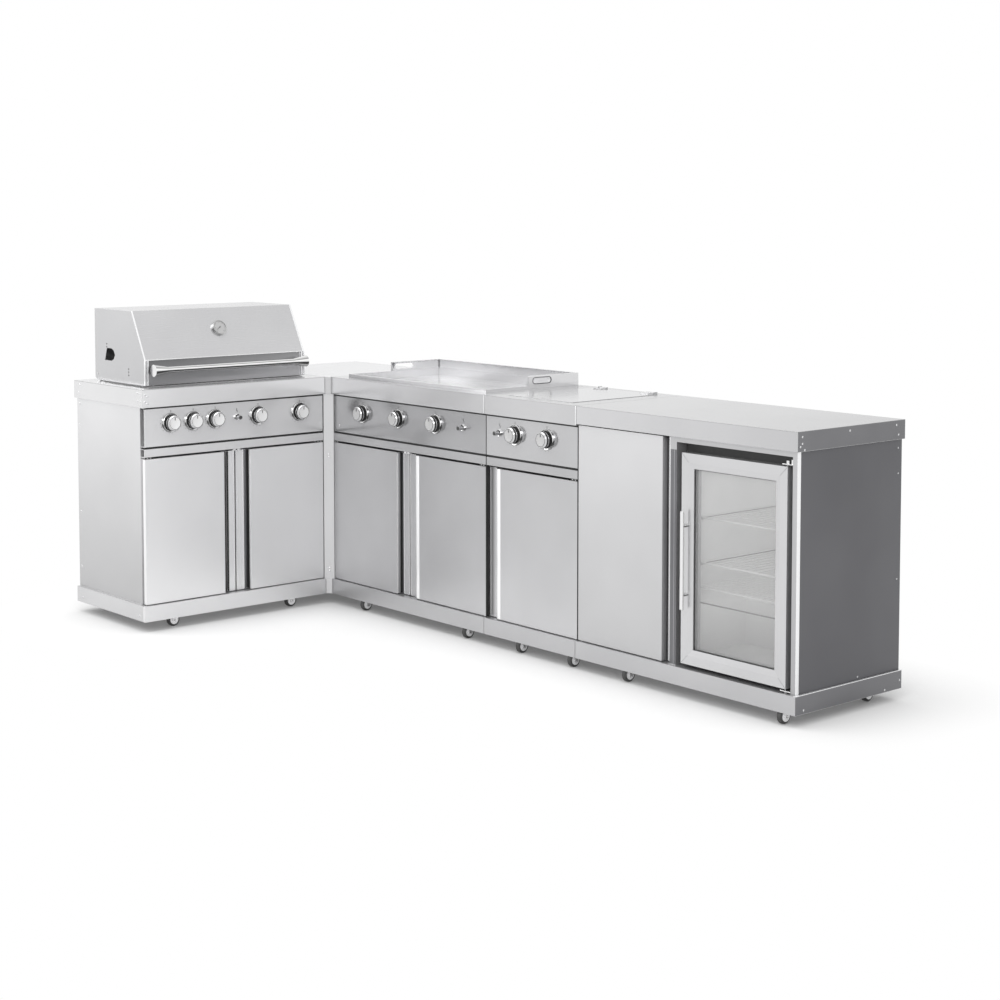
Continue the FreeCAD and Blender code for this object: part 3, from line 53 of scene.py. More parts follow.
FOOTPRINTS = [((0.215, 0.43, 0.0), (1.165, 0.26, 0.0)), ((-1.17, 0.045, 0.0), (0.22, 0.645, 0.0))]


def feed(tree, socket, source):
    """Sets a socket to a constant, or links it to another node's socket."""
    if isinstance(source, bpy.types.NodeSocket):
        tree.links.new(source, socket)
    else:
        socket.default_value = source


def add_node(tree, kind, **settings):
    """A shader node with its sockets fed by name and its other settings as attributes."""
    node = tree.nodes.new(kind)
    for word, setting in settings.items():
        if word in node.inputs:
            feed(tree, node.inputs[word], setting)
        else:
            setattr(node, word, setting)
    return node


def result_of(tree, operation, *sides, kind="ShaderNodeMath"):
    """The result of one operation on its sides, which are sockets or constants."""
    node = add_node(tree, kind, operation=operation)
    for socket, side in zip(node.inputs, sides):
        feed(tree, socket, side)
    return node.outputs["Value" if operation == "LENGTH" else 0]


def spread(tree, source, low, high, first=0.0, last=1.0):
    """A value that runs from first to last while the source runs from low to high."""
    node = tree.nodes.new("ShaderNodeMapRange")
    feed(tree, node.inputs["Value"], source)
    for word, limit in (("From Min", low), ("From Max", high), ("To Min", first), ("To Max", last)):
        node.inputs[word].default_value = limit
    return node.outputs["Result"]


def fresh_material(name):
    """An empty node material with its output."""
    material = bpy.data.materials.new(name)
    material.use_nodes = True
    material.node_tree.nodes.clear()
    output = material.node_tree.nodes.new("ShaderNodeOutputMaterial")
    return material, material.node_tree, output


def ramp(tree, source, stops):
    """The colour of a ramp fed by a socket; stops are (place, colour) pairs."""
    node = tree.nodes.new("ShaderNodeValToRGB")
    while len(node.color_ramp.elements) < len(stops):
        node.color_ramp.elements.new(1.0)
    for element, (place, colour) in zip(node.color_ramp.elements, stops):
        element.position = place
        element.color = colour
    tree.links.new(source, node.inputs["Fac"])
    return node.outputs["Color"]


def grey(level):
    """A neutral colour."""
    return (level, level, level, 1.0)


def looked_at(tree):
    """One for what the camera, a gloss or the glass looks at, and nought for light on its way."""
    rays = tree.nodes.new("ShaderNodeLightPath")
    seen = result_of(tree, "MAXIMUM", rays.outputs["Is Camera Ray"], rays.outputs["Is Glossy Ray"])
    return result_of(tree, "MAXIMUM", seen, rays.outputs["Is Transmission Ray"])


def joined(tree, kind, *sources):
    """A node that mixes or adds shaders, fed in the order of its sockets."""
    node = tree.nodes.new(kind)
    for socket, source in zip(node.inputs, sources):
        tree.links.new(source, socket)
    return node.outputs[0]


def past_footprint(tree, point, middle, half):
    """Distance of a point from a rectangle on the floor: the length of max(|point - middle| - half, 0)."""
    shift = result_of(tree, "SUBTRACT", point, middle, kind="ShaderNodeVectorMath")
    fold = result_of(tree, "ABSOLUTE", shift, kind="ShaderNodeVectorMath")
    beyond = result_of(tree, "SUBTRACT", fold, half, kind="ShaderNodeVectorMath")
    outside = result_of(tree, "MAXIMUM", beyond, (0.0, 0.0, 0.0), kind="ShaderNodeVectorMath")
    return result_of(tree, "LENGTH", outside, kind="ShaderNodeVectorMath")


world = bpy.data.worlds.new("studio")
bpy.context.scene.world = world
world.use_nodes = True
tree = world.node_tree
tree.nodes.clear()
world_out = tree.nodes.new("ShaderNodeOutputWorld")
light_sky = add_node(tree, "ShaderNodeBackground", Color=grey(1.0), Strength=AMBIENT)
white_sky = add_node(tree, "ShaderNodeBackground", Color=grey(1.0), Strength=1.0)
sky = joined(tree, "ShaderNodeMixShader", looked_at(tree), light_sky.outputs[0], white_sky.outputs[0])
tree.links.new(sky, world_out.inputs["Surface"])

floor_mesh = bpy.data.meshes.new("floor")
edge = FLOOR_SIZE / 2
corners = [(-edge, -edge, 0), (edge, -edge, 0), (edge, edge, 0), (-edge, edge, 0)]
floor_mesh.from_pydata(corners, [], [(0, 1, 2, 3)])
floor = bpy.data.objects.new("floor", floor_mesh)
bpy.context.collection.objects.link(floor)
floor_material, tree, output = fresh_material("pale floor")
# Painted contact shadow: an ambient occlusion ramp darkens the floor's tone and its glow near the island.
near = add_node(tree, "ShaderNodeAmbientOcclusion", Distance=PAINTED_SHADE_REACH, samples=12)
painted_contact_shade = ramp(tree, near.outputs["AO"],
               [(0.30, grey(0.72)), (0.62, grey(0.87)), (0.84, grey(0.955)), (0.98, grey(1.0))])
floor_tone = add_node(tree, "ShaderNodeMixRGB", blend_type="MULTIPLY", Fac=1.0, Color1=FLOOR_TONE,
                      Color2=painted_contact_shade)
floor_body = add_node(tree, "ShaderNodeBsdfDiffuse", Color=floor_tone.outputs[0])
floor_glow = add_node(tree, "ShaderNodeEmission", Color=painted_contact_shade, Strength=FLOOR_GLOW)
floor_near = joined(tree, "ShaderNodeAddShader", floor_body.outputs[0], floor_glow.outputs[0])
floor_white = add_node(tree, "ShaderNodeEmission", Color=grey(1.0), Strength=1.0)
floor_point = tree.nodes.new("ShaderNodeTexCoord").outputs["Object"]
away = result_of(tree, "MINIMUM", *[past_footprint(tree, floor_point, middle, half)
                                   for middle, half in FOOTPRINTS])
fade = spread(tree, away, SHADOW_REACH, SHADOW_REACH + FADE_LENGTH)
share = result_of(tree, "MULTIPLY", fade, looked_at(tree))
floor_mix = joined(tree, "ShaderNodeMixShader", share, floor_near, floor_white.outputs[0])
tree.links.new(floor_mix, output.inputs["Surface"])
floor_mesh.materials.append(floor_material)


def area_light(name, place, aim, size, watts):
    """A square soft light that looks at a point."""
    lamp = bpy.data.lights.new(name, "AREA")
    lamp.size = size
    lamp.energy = watts
    holder = bpy.data.objects.new(name, lamp)
    holder.location = place
    holder.rotation_euler = (Vector(aim) - Vector(place)).to_track_quat("-Z", "Y").to_euler()
    bpy.context.collection.objects.link(holder)


area_light("top light", (-0.6, -0.9, 4.2), (-0.2, 0.0, 0.6), 3.2, 60)
area_light("left light", (-4.4, -3.2, 2.6), (-0.4, 0.0, 0.6), 2.4, 45)
area_light("right light", (3.4, -3.4, 2.8), (-0.9, 0.0, 0.7), 2.0, 55)

# Camera: stands to the right of the island at head height and looks slightly down. Its place and lens were
# worked out from the island's straight edges in the photograph.
LENS = 67.99
LENS_RISE = -0.16356
STAND = (5.2284, -4.2487, 1.6109)
LOOK_DOWN = 86.0
YAW = 0.8608
lens = bpy.data.cameras.new("camera")
lens.lens = LENS
lens.sensor_width = 36.0
lens.shift_y = LENS_RISE
lens.clip_end = 200.0
camera = bpy.data.objects.new("camera", lens)
camera.location = STAND
camera.rotation_euler = (math.radians(LOOK_DOWN), 0.0, YAW)
bpy.context.collection.objects.link(camera)
bpy.context.scene.camera = camera
bpy.context.scene.view_settings.view_transform = "Standard"

# Cabinets: brushed stainless sheet, folded into boxes on a plinth. The grain runs up the doors and along
# the rails and worktops, and it shows as faint streaks in the gloss.
FINE = 1500.0
COARSE = 9.0
COOL_TINT = 0.008
WORKTOP_LEVEL = 0.92
WING_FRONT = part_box("grill_control_panel")[1].x
GRAIN_UP = (FINE, FINE, COARSE)
GRAIN_ALONG_RUN = (COARSE, FINE, FINE)
GRAIN_ALONG_WING = (FINE, COARSE, FINE)


def steel(name, tone, rough, grain, streak=0.02, cloud=0.02, edge_round=0.0009, metallic=0.72, painted_light_shares=()):
    """Brushed metal: stretched noise moves the roughness and a shallow bump, and broad noise the tone. Each
    share (axis, low, high, first, last) multiplies the tone by a value that runs from first to last: painted
    light where the value is above 1 and painted shade where it is below."""
    material, tree, output = fresh_material(name)
    place = tree.nodes.new("ShaderNodeTexCoord").outputs["Object"]
    stretch = add_node(tree, "ShaderNodeMapping", Vector=place, Scale=grain)
    lines = add_node(tree, "ShaderNodeTexNoise", Vector=stretch.outputs[0], Scale=1.0, Detail=3.0,
                     Roughness=0.6).outputs["Fac"]
    clouds = add_node(tree, "ShaderNodeTexNoise", Vector=place, Scale=3.2, Detail=2.0).outputs["Fac"]
    dark, light = tone - cloud, tone + cloud
    colour = ramp(tree, clouds, [(0.3, (dark, dark, dark + COOL_TINT, 1)),
                                 (0.7, (light, light, light + COOL_TINT, 1))])
    parts = add_node(tree, "ShaderNodeSeparateXYZ", Vector=place)
    for axis, low, high, first, last in painted_light_shares:
        share = spread(tree, parts.outputs[axis], low, high, first, last)
        shaded = add_node(tree, "ShaderNodeVectorMath", operation="SCALE", Vector=colour, Scale=share)
        colour = shaded.outputs["Vector"]
    bump = add_node(tree, "ShaderNodeBump", Strength=0.03, Distance=0.0002, Height=lines)
    if edge_round:
        soft = add_node(tree, "ShaderNodeBevel", samples=3, Radius=edge_round)
        tree.links.new(soft.outputs["Normal"], bump.inputs["Normal"])
    gloss = spread(tree, lines, 0.3, 0.7, max(rough - streak, 0.02), rough + streak)
    shader = add_node(tree, "ShaderNodeBsdfPrincipled", Metallic=metallic, Roughness=gloss,
                      Normal=bump.outputs["Normal"])
    tree.links.new(colour, shader.inputs["Base Color"])
    tree.links.new(shader.outputs[0], output.inputs["Surface"])
    return material


def foot(value):
    """A share that falls from 1 at worktop height to a value at the floor: painted shade towards the floor
    where the value is below 1, and painted light where it is above.
    """
    return ("Z", 0.0, WORKTOP_LEVEL, value, 1.0)


def front(value):
    """A share for the faces in the wing's front plane, which look along the run: painted light on them where
    the value is above 1.
    """
    return ("X", WING_FRONT - 0.003, WING_FRONT - 0.001, 1.0, value)


def plinth(value):
    """A share for the plinth, which lies below the doors: painted light that lifts its tone where the value
    is above 1.
    """
    return ("Z", 0.0990, 0.1005, value, 1.0)


def dress(names, material):
    """Gives CAD nodes one material in every slot."""
    for name in names:
        mesh = NODES[name].data
        if not mesh.materials:
            mesh.materials.append(material)
        for index in range(len(mesh.materials)):
            mesh.materials[index] = material


# Lit and shaded copies of one steel: the wing's sheet is paler with painted light, as it faces the right
# lamp, and the run's darker with painted shade. Their shares paint shade towards the floor, light on the
# wing's front faces and light on the plinths.
dress(["grill_cabinet"],
      steel("wing sheet", 0.76, 0.34, GRAIN_UP, painted_light_shares=[foot(0.62), front(1.24), plinth(1.28)]))
dress(["griddle_cabinet", "side_cabinet", "fridge_cabinet"],
      steel("run sheet", 0.50, 0.34, GRAIN_UP, painted_light_shares=[foot(0.84), plinth(1.22)]))
dress(["corner_cabinet"], steel("corner sheet", 0.62, 0.30, GRAIN_UP))

# Modules: on each, u runs along the front from its left end, v from the door faces to the back, and z up.
# The run's modules stand side by side, and the grill's front is turned a quarter turn to face along them.
panel_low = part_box("griddle_control_panel")[0]
wing_low, wing_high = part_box("grill_control_panel")
side_low, side_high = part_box("side_control_panel")
SEAM = 0.001
RUN_Y = panel_low.y
GRIDDLE_X = panel_low.x - SEAM
SIDE_X = side_low.x - SEAM
COLD_X = side_high.x + SEAM
GRILL_X = wing_high.x
GRILL_Y = wing_low.y - SEAM
GRILL_W = 0.820
GRIDDLE_W = SIDE_X - GRIDDLE_X
SIDE_W = COLD_X - SIDE_X
COLD_W = 0.980
DEPTH = 0.515
BASES = {"griddle": GRIDDLE_X, "side": SIDE_X, "cold": COLD_X}


def at(module, points):
    """Module points (u, v, z) as points in the island's frame."""
    points = np.asarray(points, float)
    u, v, z = points[..., 0], points[..., 1], points[..., 2]
    if module == "grill":
        return np.stack([GRILL_X - v, GRILL_Y + u, z], axis=-1)
    return np.stack([BASES[module] + u, RUN_Y + v, z], axis=-1)


# Worktops: thin sheet folded into a pan, polished enough to mirror what stands on it. The module seams
# and the fold lines stay bright.
WING_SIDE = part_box("grill_cabinet")[0].y - 0.0001
WING_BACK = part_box("grill_worktop")[0].x + 0.0010
POLISHED = {"rough": 0.20, "streak": 0.03, "edge_round": 0.0014}


def crown(value):
    """A share that sets a worktop's flat top apart from its fascia: painted shade where the value is below 1
    and painted light where it is above.
    """
    return ("Z", WORKTOP_LEVEL - 0.0035, WORKTOP_LEVEL - 0.0008, 1.0, value)


def end_face(axis, plane, value):
    """A share for an outer face that looks back along an axis, and that ends 1.2 mm behind its plane. Below
    1, its value is painted shade on that face.
    """
    return (axis, plane, plane + 0.0012, value, 1.0)


# Worktop tones are lit and shaded copies of one steel, palest on the wing. Their shares paint shade on the
# flat tops of the wing and the run, light on the corner's top and shade on the wing's outer end faces, and a
# last share on the wing's and the run's worktops is a gradient of painted light along them.
dress(["grill_worktop"],
      steel("wing worktop", 0.97, grain=GRAIN_ALONG_WING, **POLISHED,
            painted_light_shares=[crown(0.66), end_face("Y", WING_SIDE, 0.72), end_face("X", WING_BACK, 0.72),
                    ("Y", -0.69, 0.17, 1.03, 0.94)]))
dress(["griddle_worktop", "side_worktop"],
      steel("griddle worktop", 0.60, grain=GRAIN_ALONG_RUN, **POLISHED,
            painted_light_shares=[crown(0.86), ("X", -0.9, 0.0, 1.12, 0.96)]))
dress(["fridge_worktop"],
      steel("run worktop", 0.56, grain=GRAIN_ALONG_RUN, **POLISHED,
            painted_light_shares=[crown(0.79), ("X", 0.51, 1.49, 1.12, 0.93)]))
dress(["corner_worktop"],
      steel("corner worktop", 0.56, grain=GRAIN_ALONG_WING, **POLISHED, painted_light_shares=[crown(1.22)]))

# Screws: small domed heads of bright steel with a cross slot, drawn as raised near-black bars of painted
# shade that stand for the slot's depth. They hold the side panels, the plinths, the fascia corners and the
# back walls.
SCREW_R = 0.0042
SCREW_H = 0.0016
SLOT_LENGTH, SLOT_WIDTH = 0.0042, 0.0009
SHARP_FOLD = math.radians(35)
bright_screw = steel("screw", 0.78, 0.22, GRAIN_UP, edge_round=0.0)


def coating(name, scale, low, high, detail=2.0, shine=(), bump=(), **settings):
    """Paint, rubber, ink or cast metal: noise moves the tone from low to high, and where they are given
    the roughness over shine's two levels and the surface by bump's (strength, distance)."""
    material, tree, output = fresh_material(name)
    place = tree.nodes.new("ShaderNodeTexCoord").outputs["Object"]
    speck = add_node(tree, "ShaderNodeTexNoise", Vector=place, Scale=scale, Detail=detail).outputs["Fac"]
    shader = add_node(tree, "ShaderNodeBsdfPrincipled", **settings)
    tree.links.new(ramp(tree, speck, [(0.3, grey(low)), (0.7, grey(high))]), shader.inputs["Base Color"])
    if shine:
        gloss = ramp(tree, speck, [(0.3, grey(shine[0])), (0.7, grey(shine[1]))])
        tree.links.new(gloss, shader.inputs["Roughness"])
    if bump:
        lift = add_node(tree, "ShaderNodeBump", Strength=bump[0], Distance=bump[1], Height=speck)
        tree.links.new(lift.outputs["Normal"], shader.inputs["Normal"])
    tree.links.new(shader.outputs[0], output.inputs["Surface"])
    return material


slot_dark = coating("screw slot", 600.0, 0.05, 0.09, Roughness=0.6, Metallic=0.6)


def grid_faces(rows, columns, start):
    """Quads of a grid whose columns close on themselves: each joins (i, j) to (i + 1, j + 1)."""
    i, j = np.meshgrid(np.arange(rows - 1), np.arange(columns), indexing="ij")
    k = (j + 1) % columns
    low, high = i * columns, (i + 1) * columns
    quads = np.stack([low + j, low + k, high + k, high + j], axis=-1)
    return quads.reshape(-1, 4) + start


def fix_surface(mesh):
    """Merges doubled points at poles, turns faces outwards, and shades all but sharp folds smooth."""
    work = bmesh.new()
    work.from_mesh(mesh)
    bmesh.ops.remove_doubles(work, verts=work.verts, dist=0.00001)
    bmesh.ops.recalc_face_normals(work, faces=work.faces)
    for face in work.faces:
        face.smooth = True
    for side in work.edges:
        if len(side.link_faces) == 2 and side.calc_face_angle(0.0) > SHARP_FOLD:
            side.smooth = False
    work.to_mesh(mesh)
    work.free()


def make_piece(name, surfaces, material, body):
    """One mesh object from closed grids of points (rows, columns, 3), riding on a body."""
    points, faces, start = [], [], 0
    for surface in surfaces:
        rows, columns, _ = surface.shape
        points.append(surface.reshape(-1, 3))
        faces.append(grid_faces(rows, columns, start))
        start += rows * columns
    mesh = bpy.data.meshes.new(name)
    mesh.from_pydata(np.concatenate(points).tolist(), [], np.concatenate(faces).tolist())
    piece = bpy.data.objects.new(name, mesh)
    bpy.context.collection.objects.link(piece)
    fix_surface(mesh)
    mesh.materials.append(material)
    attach(piece, body)


def lathe(profile, centre, normal, steps):
    """(radius, height) pairs turned round a normal: centre + height * normal + radius * (cos, sin)."""
    profile = np.asarray(profile, float)
    normal = np.asarray(normal, float) / np.linalg.norm(normal)
    helper = np.array([0.0, 0.0, 1.0]) if abs(normal[2]) < 0.9 else np.array([1.0, 0.0, 0.0])
    across = np.cross(helper, normal)
    across /= np.linalg.norm(across)
    upward = np.cross(normal, across)
    angle = np.linspace(0, 2 * np.pi, steps, endpoint=False)
    ring = np.cos(angle)[:, None] * across + np.sin(angle)[:, None] * upward
    return (np.asarray(centre, float) + profile[:, 1][:, None, None] * normal
            + profile[:, 0][:, None, None] * ring[None])


def slab(low, high, bevel):
    """A block with rounded upright edges and eased rims: a rounded outline, drawn in and out over levels."""
    low, high = np.asarray(low, float), np.asarray(high, float)
    centre, half_size = (low + high) / 2, (high - low) / 2
    bevel = min(bevel, half_size.min() * 0.98)
    sides = 24
    angle = np.linspace(0, 2 * np.pi, sides, endpoint=False) + np.pi / sides
    corner = np.stack([np.sign(np.cos(angle)), np.sign(np.sin(angle))], axis=-1)
    arc = np.stack([np.cos(angle), np.sin(angle)], axis=-1)
    turn = np.linspace(0, np.pi / 2, 4)
    levels = [(0.0, -half_size[2])]
    levels += [(bevel * math.sin(t), -half_size[2] + bevel * (1 - math.cos(t))) for t in turn]
    levels += [(bevel * math.cos(t), half_size[2] - bevel * (1 - math.sin(t))) for t in turn]
    levels += [(0.0, half_size[2])]
    rows = []
    inner = half_size[:2] - bevel
    for index, (grow, height) in enumerate(levels):
        plan = corner * inner + arc * grow
        if index in (0, len(levels) - 1):
            plan = plan * 0.0
        rows.append(np.concatenate([plan, np.full((sides, 1), height)], axis=1))
    return np.stack(rows) + centre


def dome(centre, normal, radius=SCREW_R, height=SCREW_H, steps=20):
    """A screw head: a low dome, height*(1 - (r/radius)^2), closed by a flat underside."""
    share = np.linspace(0, 1, 6)
    profile = [(radius * s, height * (1 - s * s) + 0.0003) for s in share] + [(radius, 0.0), (0.0, 0.0)]
    return lathe(profile, centre, normal, steps)


def cross(centre, normal):
    """The two bars of a cross slot, as thin raised slabs in the plane square to the normal."""
    middle = centre + normal * SCREW_H
    bars = []
    axes = [axis for axis in range(3) if abs(normal[axis]) < 0.5]
    for main, other in (axes, axes[::-1]):
        reach = np.abs(normal) * 0.0002
        reach[main], reach[other] = SLOT_LENGTH / 2, SLOT_WIDTH / 2
        bars.append(slab(middle - reach, middle + reach, 0.0001))
    return bars


NORMALS = {"front": (0, -1), "back": (0, 1), "left": (-1, 0), "right": (1, 0)}


def facing(module, side):
    """Unit vector that points out of one side of a module."""
    u, v = NORMALS[side]
    return np.array([-v, u, 0.0]) if module == "grill" else np.array([u, v, 0.0])


def screws(name, module, side, spots):
    """Domed screws with cross slots at (u, v, z) spots on one side of a module."""
    normal = facing(module, side)
    centres = [at(module, spot) for spot in spots]
    make_piece(name, [dome(centre, normal) for centre in centres], bright_screw, "island")
    slots = [bar for centre in centres for bar in cross(centre, normal)]
    make_piece(f"{name}_slots", slots, slot_dark, "island")


OVERHANG = 0.012
END = COLD_W
END_OUT = END + OVERHANG
screws("end_screws", "cold", "right", [
    (END_OUT, 0.009, 0.903), (END_OUT, 0.000, 0.873), (END_OUT, 0.236, 0.905), (END_OUT, 0.470, 0.905),
    (END_OUT, 0.481, 0.873), (END, 0.495, 0.828), (END, 0.497, 0.745), (END_OUT, 0.028, 0.052),
    (END_OUT, 0.428, 0.048), (END_OUT, 0.505, 0.068), (END, 0.303, 0.110), (END, 0.497, 0.400),
    (END_OUT, 0.009, 0.882), (END_OUT, 0.020, 0.862)])
screws("wing_end_screws", "grill", "left", [
    (-OVERHANG, 0.009, 0.903), (-OVERHANG, 0.000, 0.873), (-OVERHANG, 0.024, 0.905),
    (-OVERHANG, 0.024, 0.876), (-OVERHANG, 0.470, 0.905), (-OVERHANG, 0.481, 0.873), (0.0, 0.495, 0.828),
    (0.0, 0.497, 0.745), (-OVERHANG, 0.028, 0.060), (-OVERHANG, 0.470, 0.060), (0.0, 0.497, 0.400),
    (0.0, 0.497, 0.180)])
screws("wing_corner_screws", "grill", "front", [
    (-0.001, -OVERHANG, 0.900), (0.010, -OVERHANG, 0.893), (-0.001, -OVERHANG, 0.874),
    (0.010, -OVERHANG, 0.866)])
screws("panel_screw", "griddle", "front", [(0.039, 0.0, 0.726)])
STRIP_OUT = np.array([1.0, -1.0, 0.0]) / math.sqrt(2)
strip_spots = [(at("grill", (GRILL_W, 0.0, z)) + at("griddle", (0.0, 0.0, z))) / 2
               for z in (0.606, 0.594, 0.143, 0.131)]
make_piece("corner_strip_screws", [dome(spot, STRIP_OUT) for spot in strip_spots], bright_screw, "island")
BACK_Z = (0.130, 0.480, 0.820)
BACK_INSET = 0.018
for module, width in (("grill", GRILL_W), ("griddle", GRIDDLE_W), ("side", SIDE_W), ("cold", COLD_W)):
    spots = [(u, DEPTH, z) for u in (BACK_INSET, width / 2, width - BACK_INSET) for z in BACK_Z]
    screws(f"{module}_back_screws", module, "back", spots)

# End panel: the right end is shut by a sheet in a dark tone of painted shade, held between bright corner
# strips. The worktop's and the plinth's end faces carry painted shade too.
PANEL_LOW, PANEL_HIGH = 0.1005, 0.8565
end_shade = steel("end panel painted shade", 0.135, 0.42, GRAIN_UP, cloud=0.008)
cap_shade = steel("end cap painted shade", 0.19, 0.36, GRAIN_UP, cloud=0.02)
strip_metal = steel("corner strip", 0.88, 0.18, GRAIN_UP, streak=0.02)


def block(module, u0, u1, v0, v1, z0, z1, bevel):
    """A slab given by its limits in a module's frame."""
    ends = at(module, [(u0, v0, z0), (u1, v1, z1)])
    return slab(ends.min(0), ends.max(0), bevel)


end_panel = block("cold", END - 0.0002, END + 0.0012, 0.018, 0.5135, PANEL_LOW, PANEL_HIGH, 0.0004)
make_piece("end_panel", [end_panel], end_shade, "island")
end_caps = [block("cold", END_OUT - 0.0002, END_OUT + 0.0008, -0.0110, DEPTH - 0.001, low_z, high_z, 0.0003)
            for low_z, high_z in ((0.858, 0.919), (0.041, 0.099))]
make_piece("end_caps", end_caps, cap_shade, "island")
end_strips = [block("cold", END - 0.0002, END + 0.0016, 0.0005, 0.0165, PANEL_LOW, PANEL_HIGH, 0.0004),
              block("cold", END + 0.0020, END + 0.0124, -0.0100, DEPTH - 0.001, 0.0988, 0.1012, 0.0004)]
make_piece("end_corner_strips", end_strips, strip_metal, "island")

# Doors: folded satin sheet with a bright pull strip beside a shadowed groove. Painted light and shade fall
# along the groove's walls in bands, from a painted highlight on the rolled edge in front to a painted
# shadow on the floor behind. The door tones are lit and shaded copies of one steel, with painted shade
# towards the floor on the wing's and the storage doors, and painted light there on the griddle's and the
# side door.
door_wing = steel("wing door sheet", 0.97, 0.30, GRAIN_UP, painted_light_shares=[foot(0.86)])
dress(["grill_door_left", "grill_door_right"], door_wing)
dress(["griddle_door_left", "griddle_door_right"],
      steel("griddle door sheet", 0.44, 0.30, GRAIN_UP, painted_light_shares=[foot(1.30)]))
dress(["side_door"], steel("side door sheet", 0.48, 0.30, GRAIN_UP, painted_light_shares=[foot(1.26)]))
dress(["storage_door"], steel("storage door sheet", 0.68, 0.30, GRAIN_UP, painted_light_shares=[foot(0.76)]))
groove_dark = coating("groove shadow paint", 240.0, 0.020, 0.036, detail=4.0, shine=(0.42, 0.55),
                      **{"Specular IOR Level": 0.2})
groove_grey = steel("groove sheet", 0.20, 0.36, GRAIN_UP)
edge_highlight = steel("rolled door edge highlight", 0.97, 0.22, GRAIN_UP, streak=0.01, metallic=0.35)
wall_mid = steel("groove wall sheet", 0.34, 0.34, GRAIN_UP, metallic=0.3)
STRIP, GROOVE, GAP = 0.036, 0.021, 0.003
STRIP_FACE, GROOVE_FLOOR = 0.0165, 0.0236
DOOR_LOW, DOOR_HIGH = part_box("grill_door_left")[0].z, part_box("grill_door_left")[1].z
COLD_DOOR_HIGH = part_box("storage_door")[1].z


def upright(module, u0, u1, v0, v1, top, bevel):
    """A bar that runs up a door, 1 mm short of its foot and of its top."""
    return block(module, u0, u1, v0, v1, DOOR_LOW + 0.001, top - 0.001, bevel)


def groove_lining(name, module, edge, side, width, top, strip, groove, walls):
    """Linings of a groove: its floor in a dark grey and its foot lines in black, both painted shade, and the
    bands (front, back, material) of painted light and shade on its panel wall. The groove starts at
    width - strip - groove from the door's hinged edge."""
    panel = edge + side * (width - strip - groove)
    step = edge + side * (width - strip)
    low_u, high_u = sorted((panel + side * 0.0004, step - side * 0.0004))
    lining = upright(module, low_u, high_u, 0.0234, 0.02405, top, 0.0002)
    make_piece(f"{name}_groove_lining", [lining], groove_grey, name)
    lines = [upright(module, line - 0.0016, line + 0.0016, 0.0228, GROOVE_FLOOR, top, 0.0002)
             for line in (panel + side * 0.0022, step - side * 0.0022)]
    make_piece(f"{name}_groove_lines", lines, groove_dark, name)
    wall_u = sorted((panel + side * 0.0001, panel + side * 0.0006))
    for index, (front_v, back_v, material) in enumerate(walls):
        band = upright(module, wall_u[0], wall_u[1], front_v + 0.0001, back_v, top, 0.0002)
        make_piece(f"{name}_groove_wall_{index}", [band], material, name)


def pull_edges(name, module, edge, side, width, top, strip):
    """Bright bars of painted highlight on the rolled edges down both sides of the pull strip, wider on a
    narrow strip.
    """
    low_u, high_u = sorted((edge + side * (width - strip), edge + side * width))
    roll = 0.009 if strip < STRIP else 0.003
    rolls = [upright(module, u0, u1, STRIP_FACE, 0.0182, top, 0.0007)
             for u0, u1 in ((low_u, low_u + roll), (high_u - roll, high_u))]
    make_piece(f"{name}_pull_edges", rolls, strip_metal, name)


# Wall bands, front to back: FOLDED runs from a painted highlight through the lit door tone and painted mid
# shade to painted shadow, SHADED from a painted highlight to painted shadow, and DULL is painted mid shade.
FOLDED = [(0.0, 0.003, edge_highlight), (0.0032, 0.0110, door_wing), (0.0112, STRIP_FACE, wall_mid),
          (0.0167, GROOVE_FLOOR, groove_dark)]
SHADED = [(0.0, 0.010, edge_highlight), (0.0102, GROOVE_FLOOR, groove_dark)]
DULL = [(0.0, GROOVE_FLOOR, wall_mid)]
WING_LEAF = GRILL_W / 2 - 2 * GAP
GRIDDLE_LEAF = GRIDDLE_W / 2 - 2 * GAP
SIDE_LEAF = SIDE_W - 2 * GAP
DOORS = [
    ("grill_door_left", "grill", GAP, 1, WING_LEAF, DOOR_HIGH, STRIP, GROOVE, DULL),
    ("grill_door_right", "grill", GRILL_W - GAP, -1, WING_LEAF, DOOR_HIGH, STRIP, GROOVE, SHADED),
    ("griddle_door_left", "griddle", GAP, 1, GRIDDLE_LEAF, DOOR_HIGH, STRIP, GROOVE, FOLDED),
    ("griddle_door_right", "griddle", GRIDDLE_W - GAP, -1, GRIDDLE_LEAF, DOOR_HIGH, STRIP, GROOVE, DULL),
    ("side_door", "side", SIDE_W - GAP, -1, SIDE_LEAF, DOOR_HIGH, STRIP, GROOVE, DULL),
    ("storage_door", "cold", GAP, 1, 0.437, COLD_DOOR_HIGH, 0.020, 0.013, DULL),
]
for name, module, edge, side, width, top, strip, groove, walls in DOORS:
    groove_lining(name, module, edge, side, width, top, strip, groove, walls)
    pull_edges(name, module, edge, side, width, top, strip)
# A painted highlight runs down the rolled edge of the griddle's right door and the side door, with a line of
# painted mid shade along it.
for name, module, right, width in (("griddle_door_right", "griddle", GRIDDLE_W - GAP, GRIDDLE_LEAF),
                                   ("side_door", "side", SIDE_W - GAP, SIDE_LEAF)):
    rim = right - width + STRIP + GROOVE
    roll = upright(module, rim, rim + 0.019, -0.0006, 0.0006, DOOR_HIGH, 0.0003)
    make_piece(f"{name}_rolled_edge_highlight", [roll], edge_highlight, name)
    line = upright(module, rim - 0.0004, rim + 0.0022, -0.0008, 0.0090, DOOR_HIGH, 0.0003)
    make_piece(f"{name}_edge_line", [line], wall_mid, name)
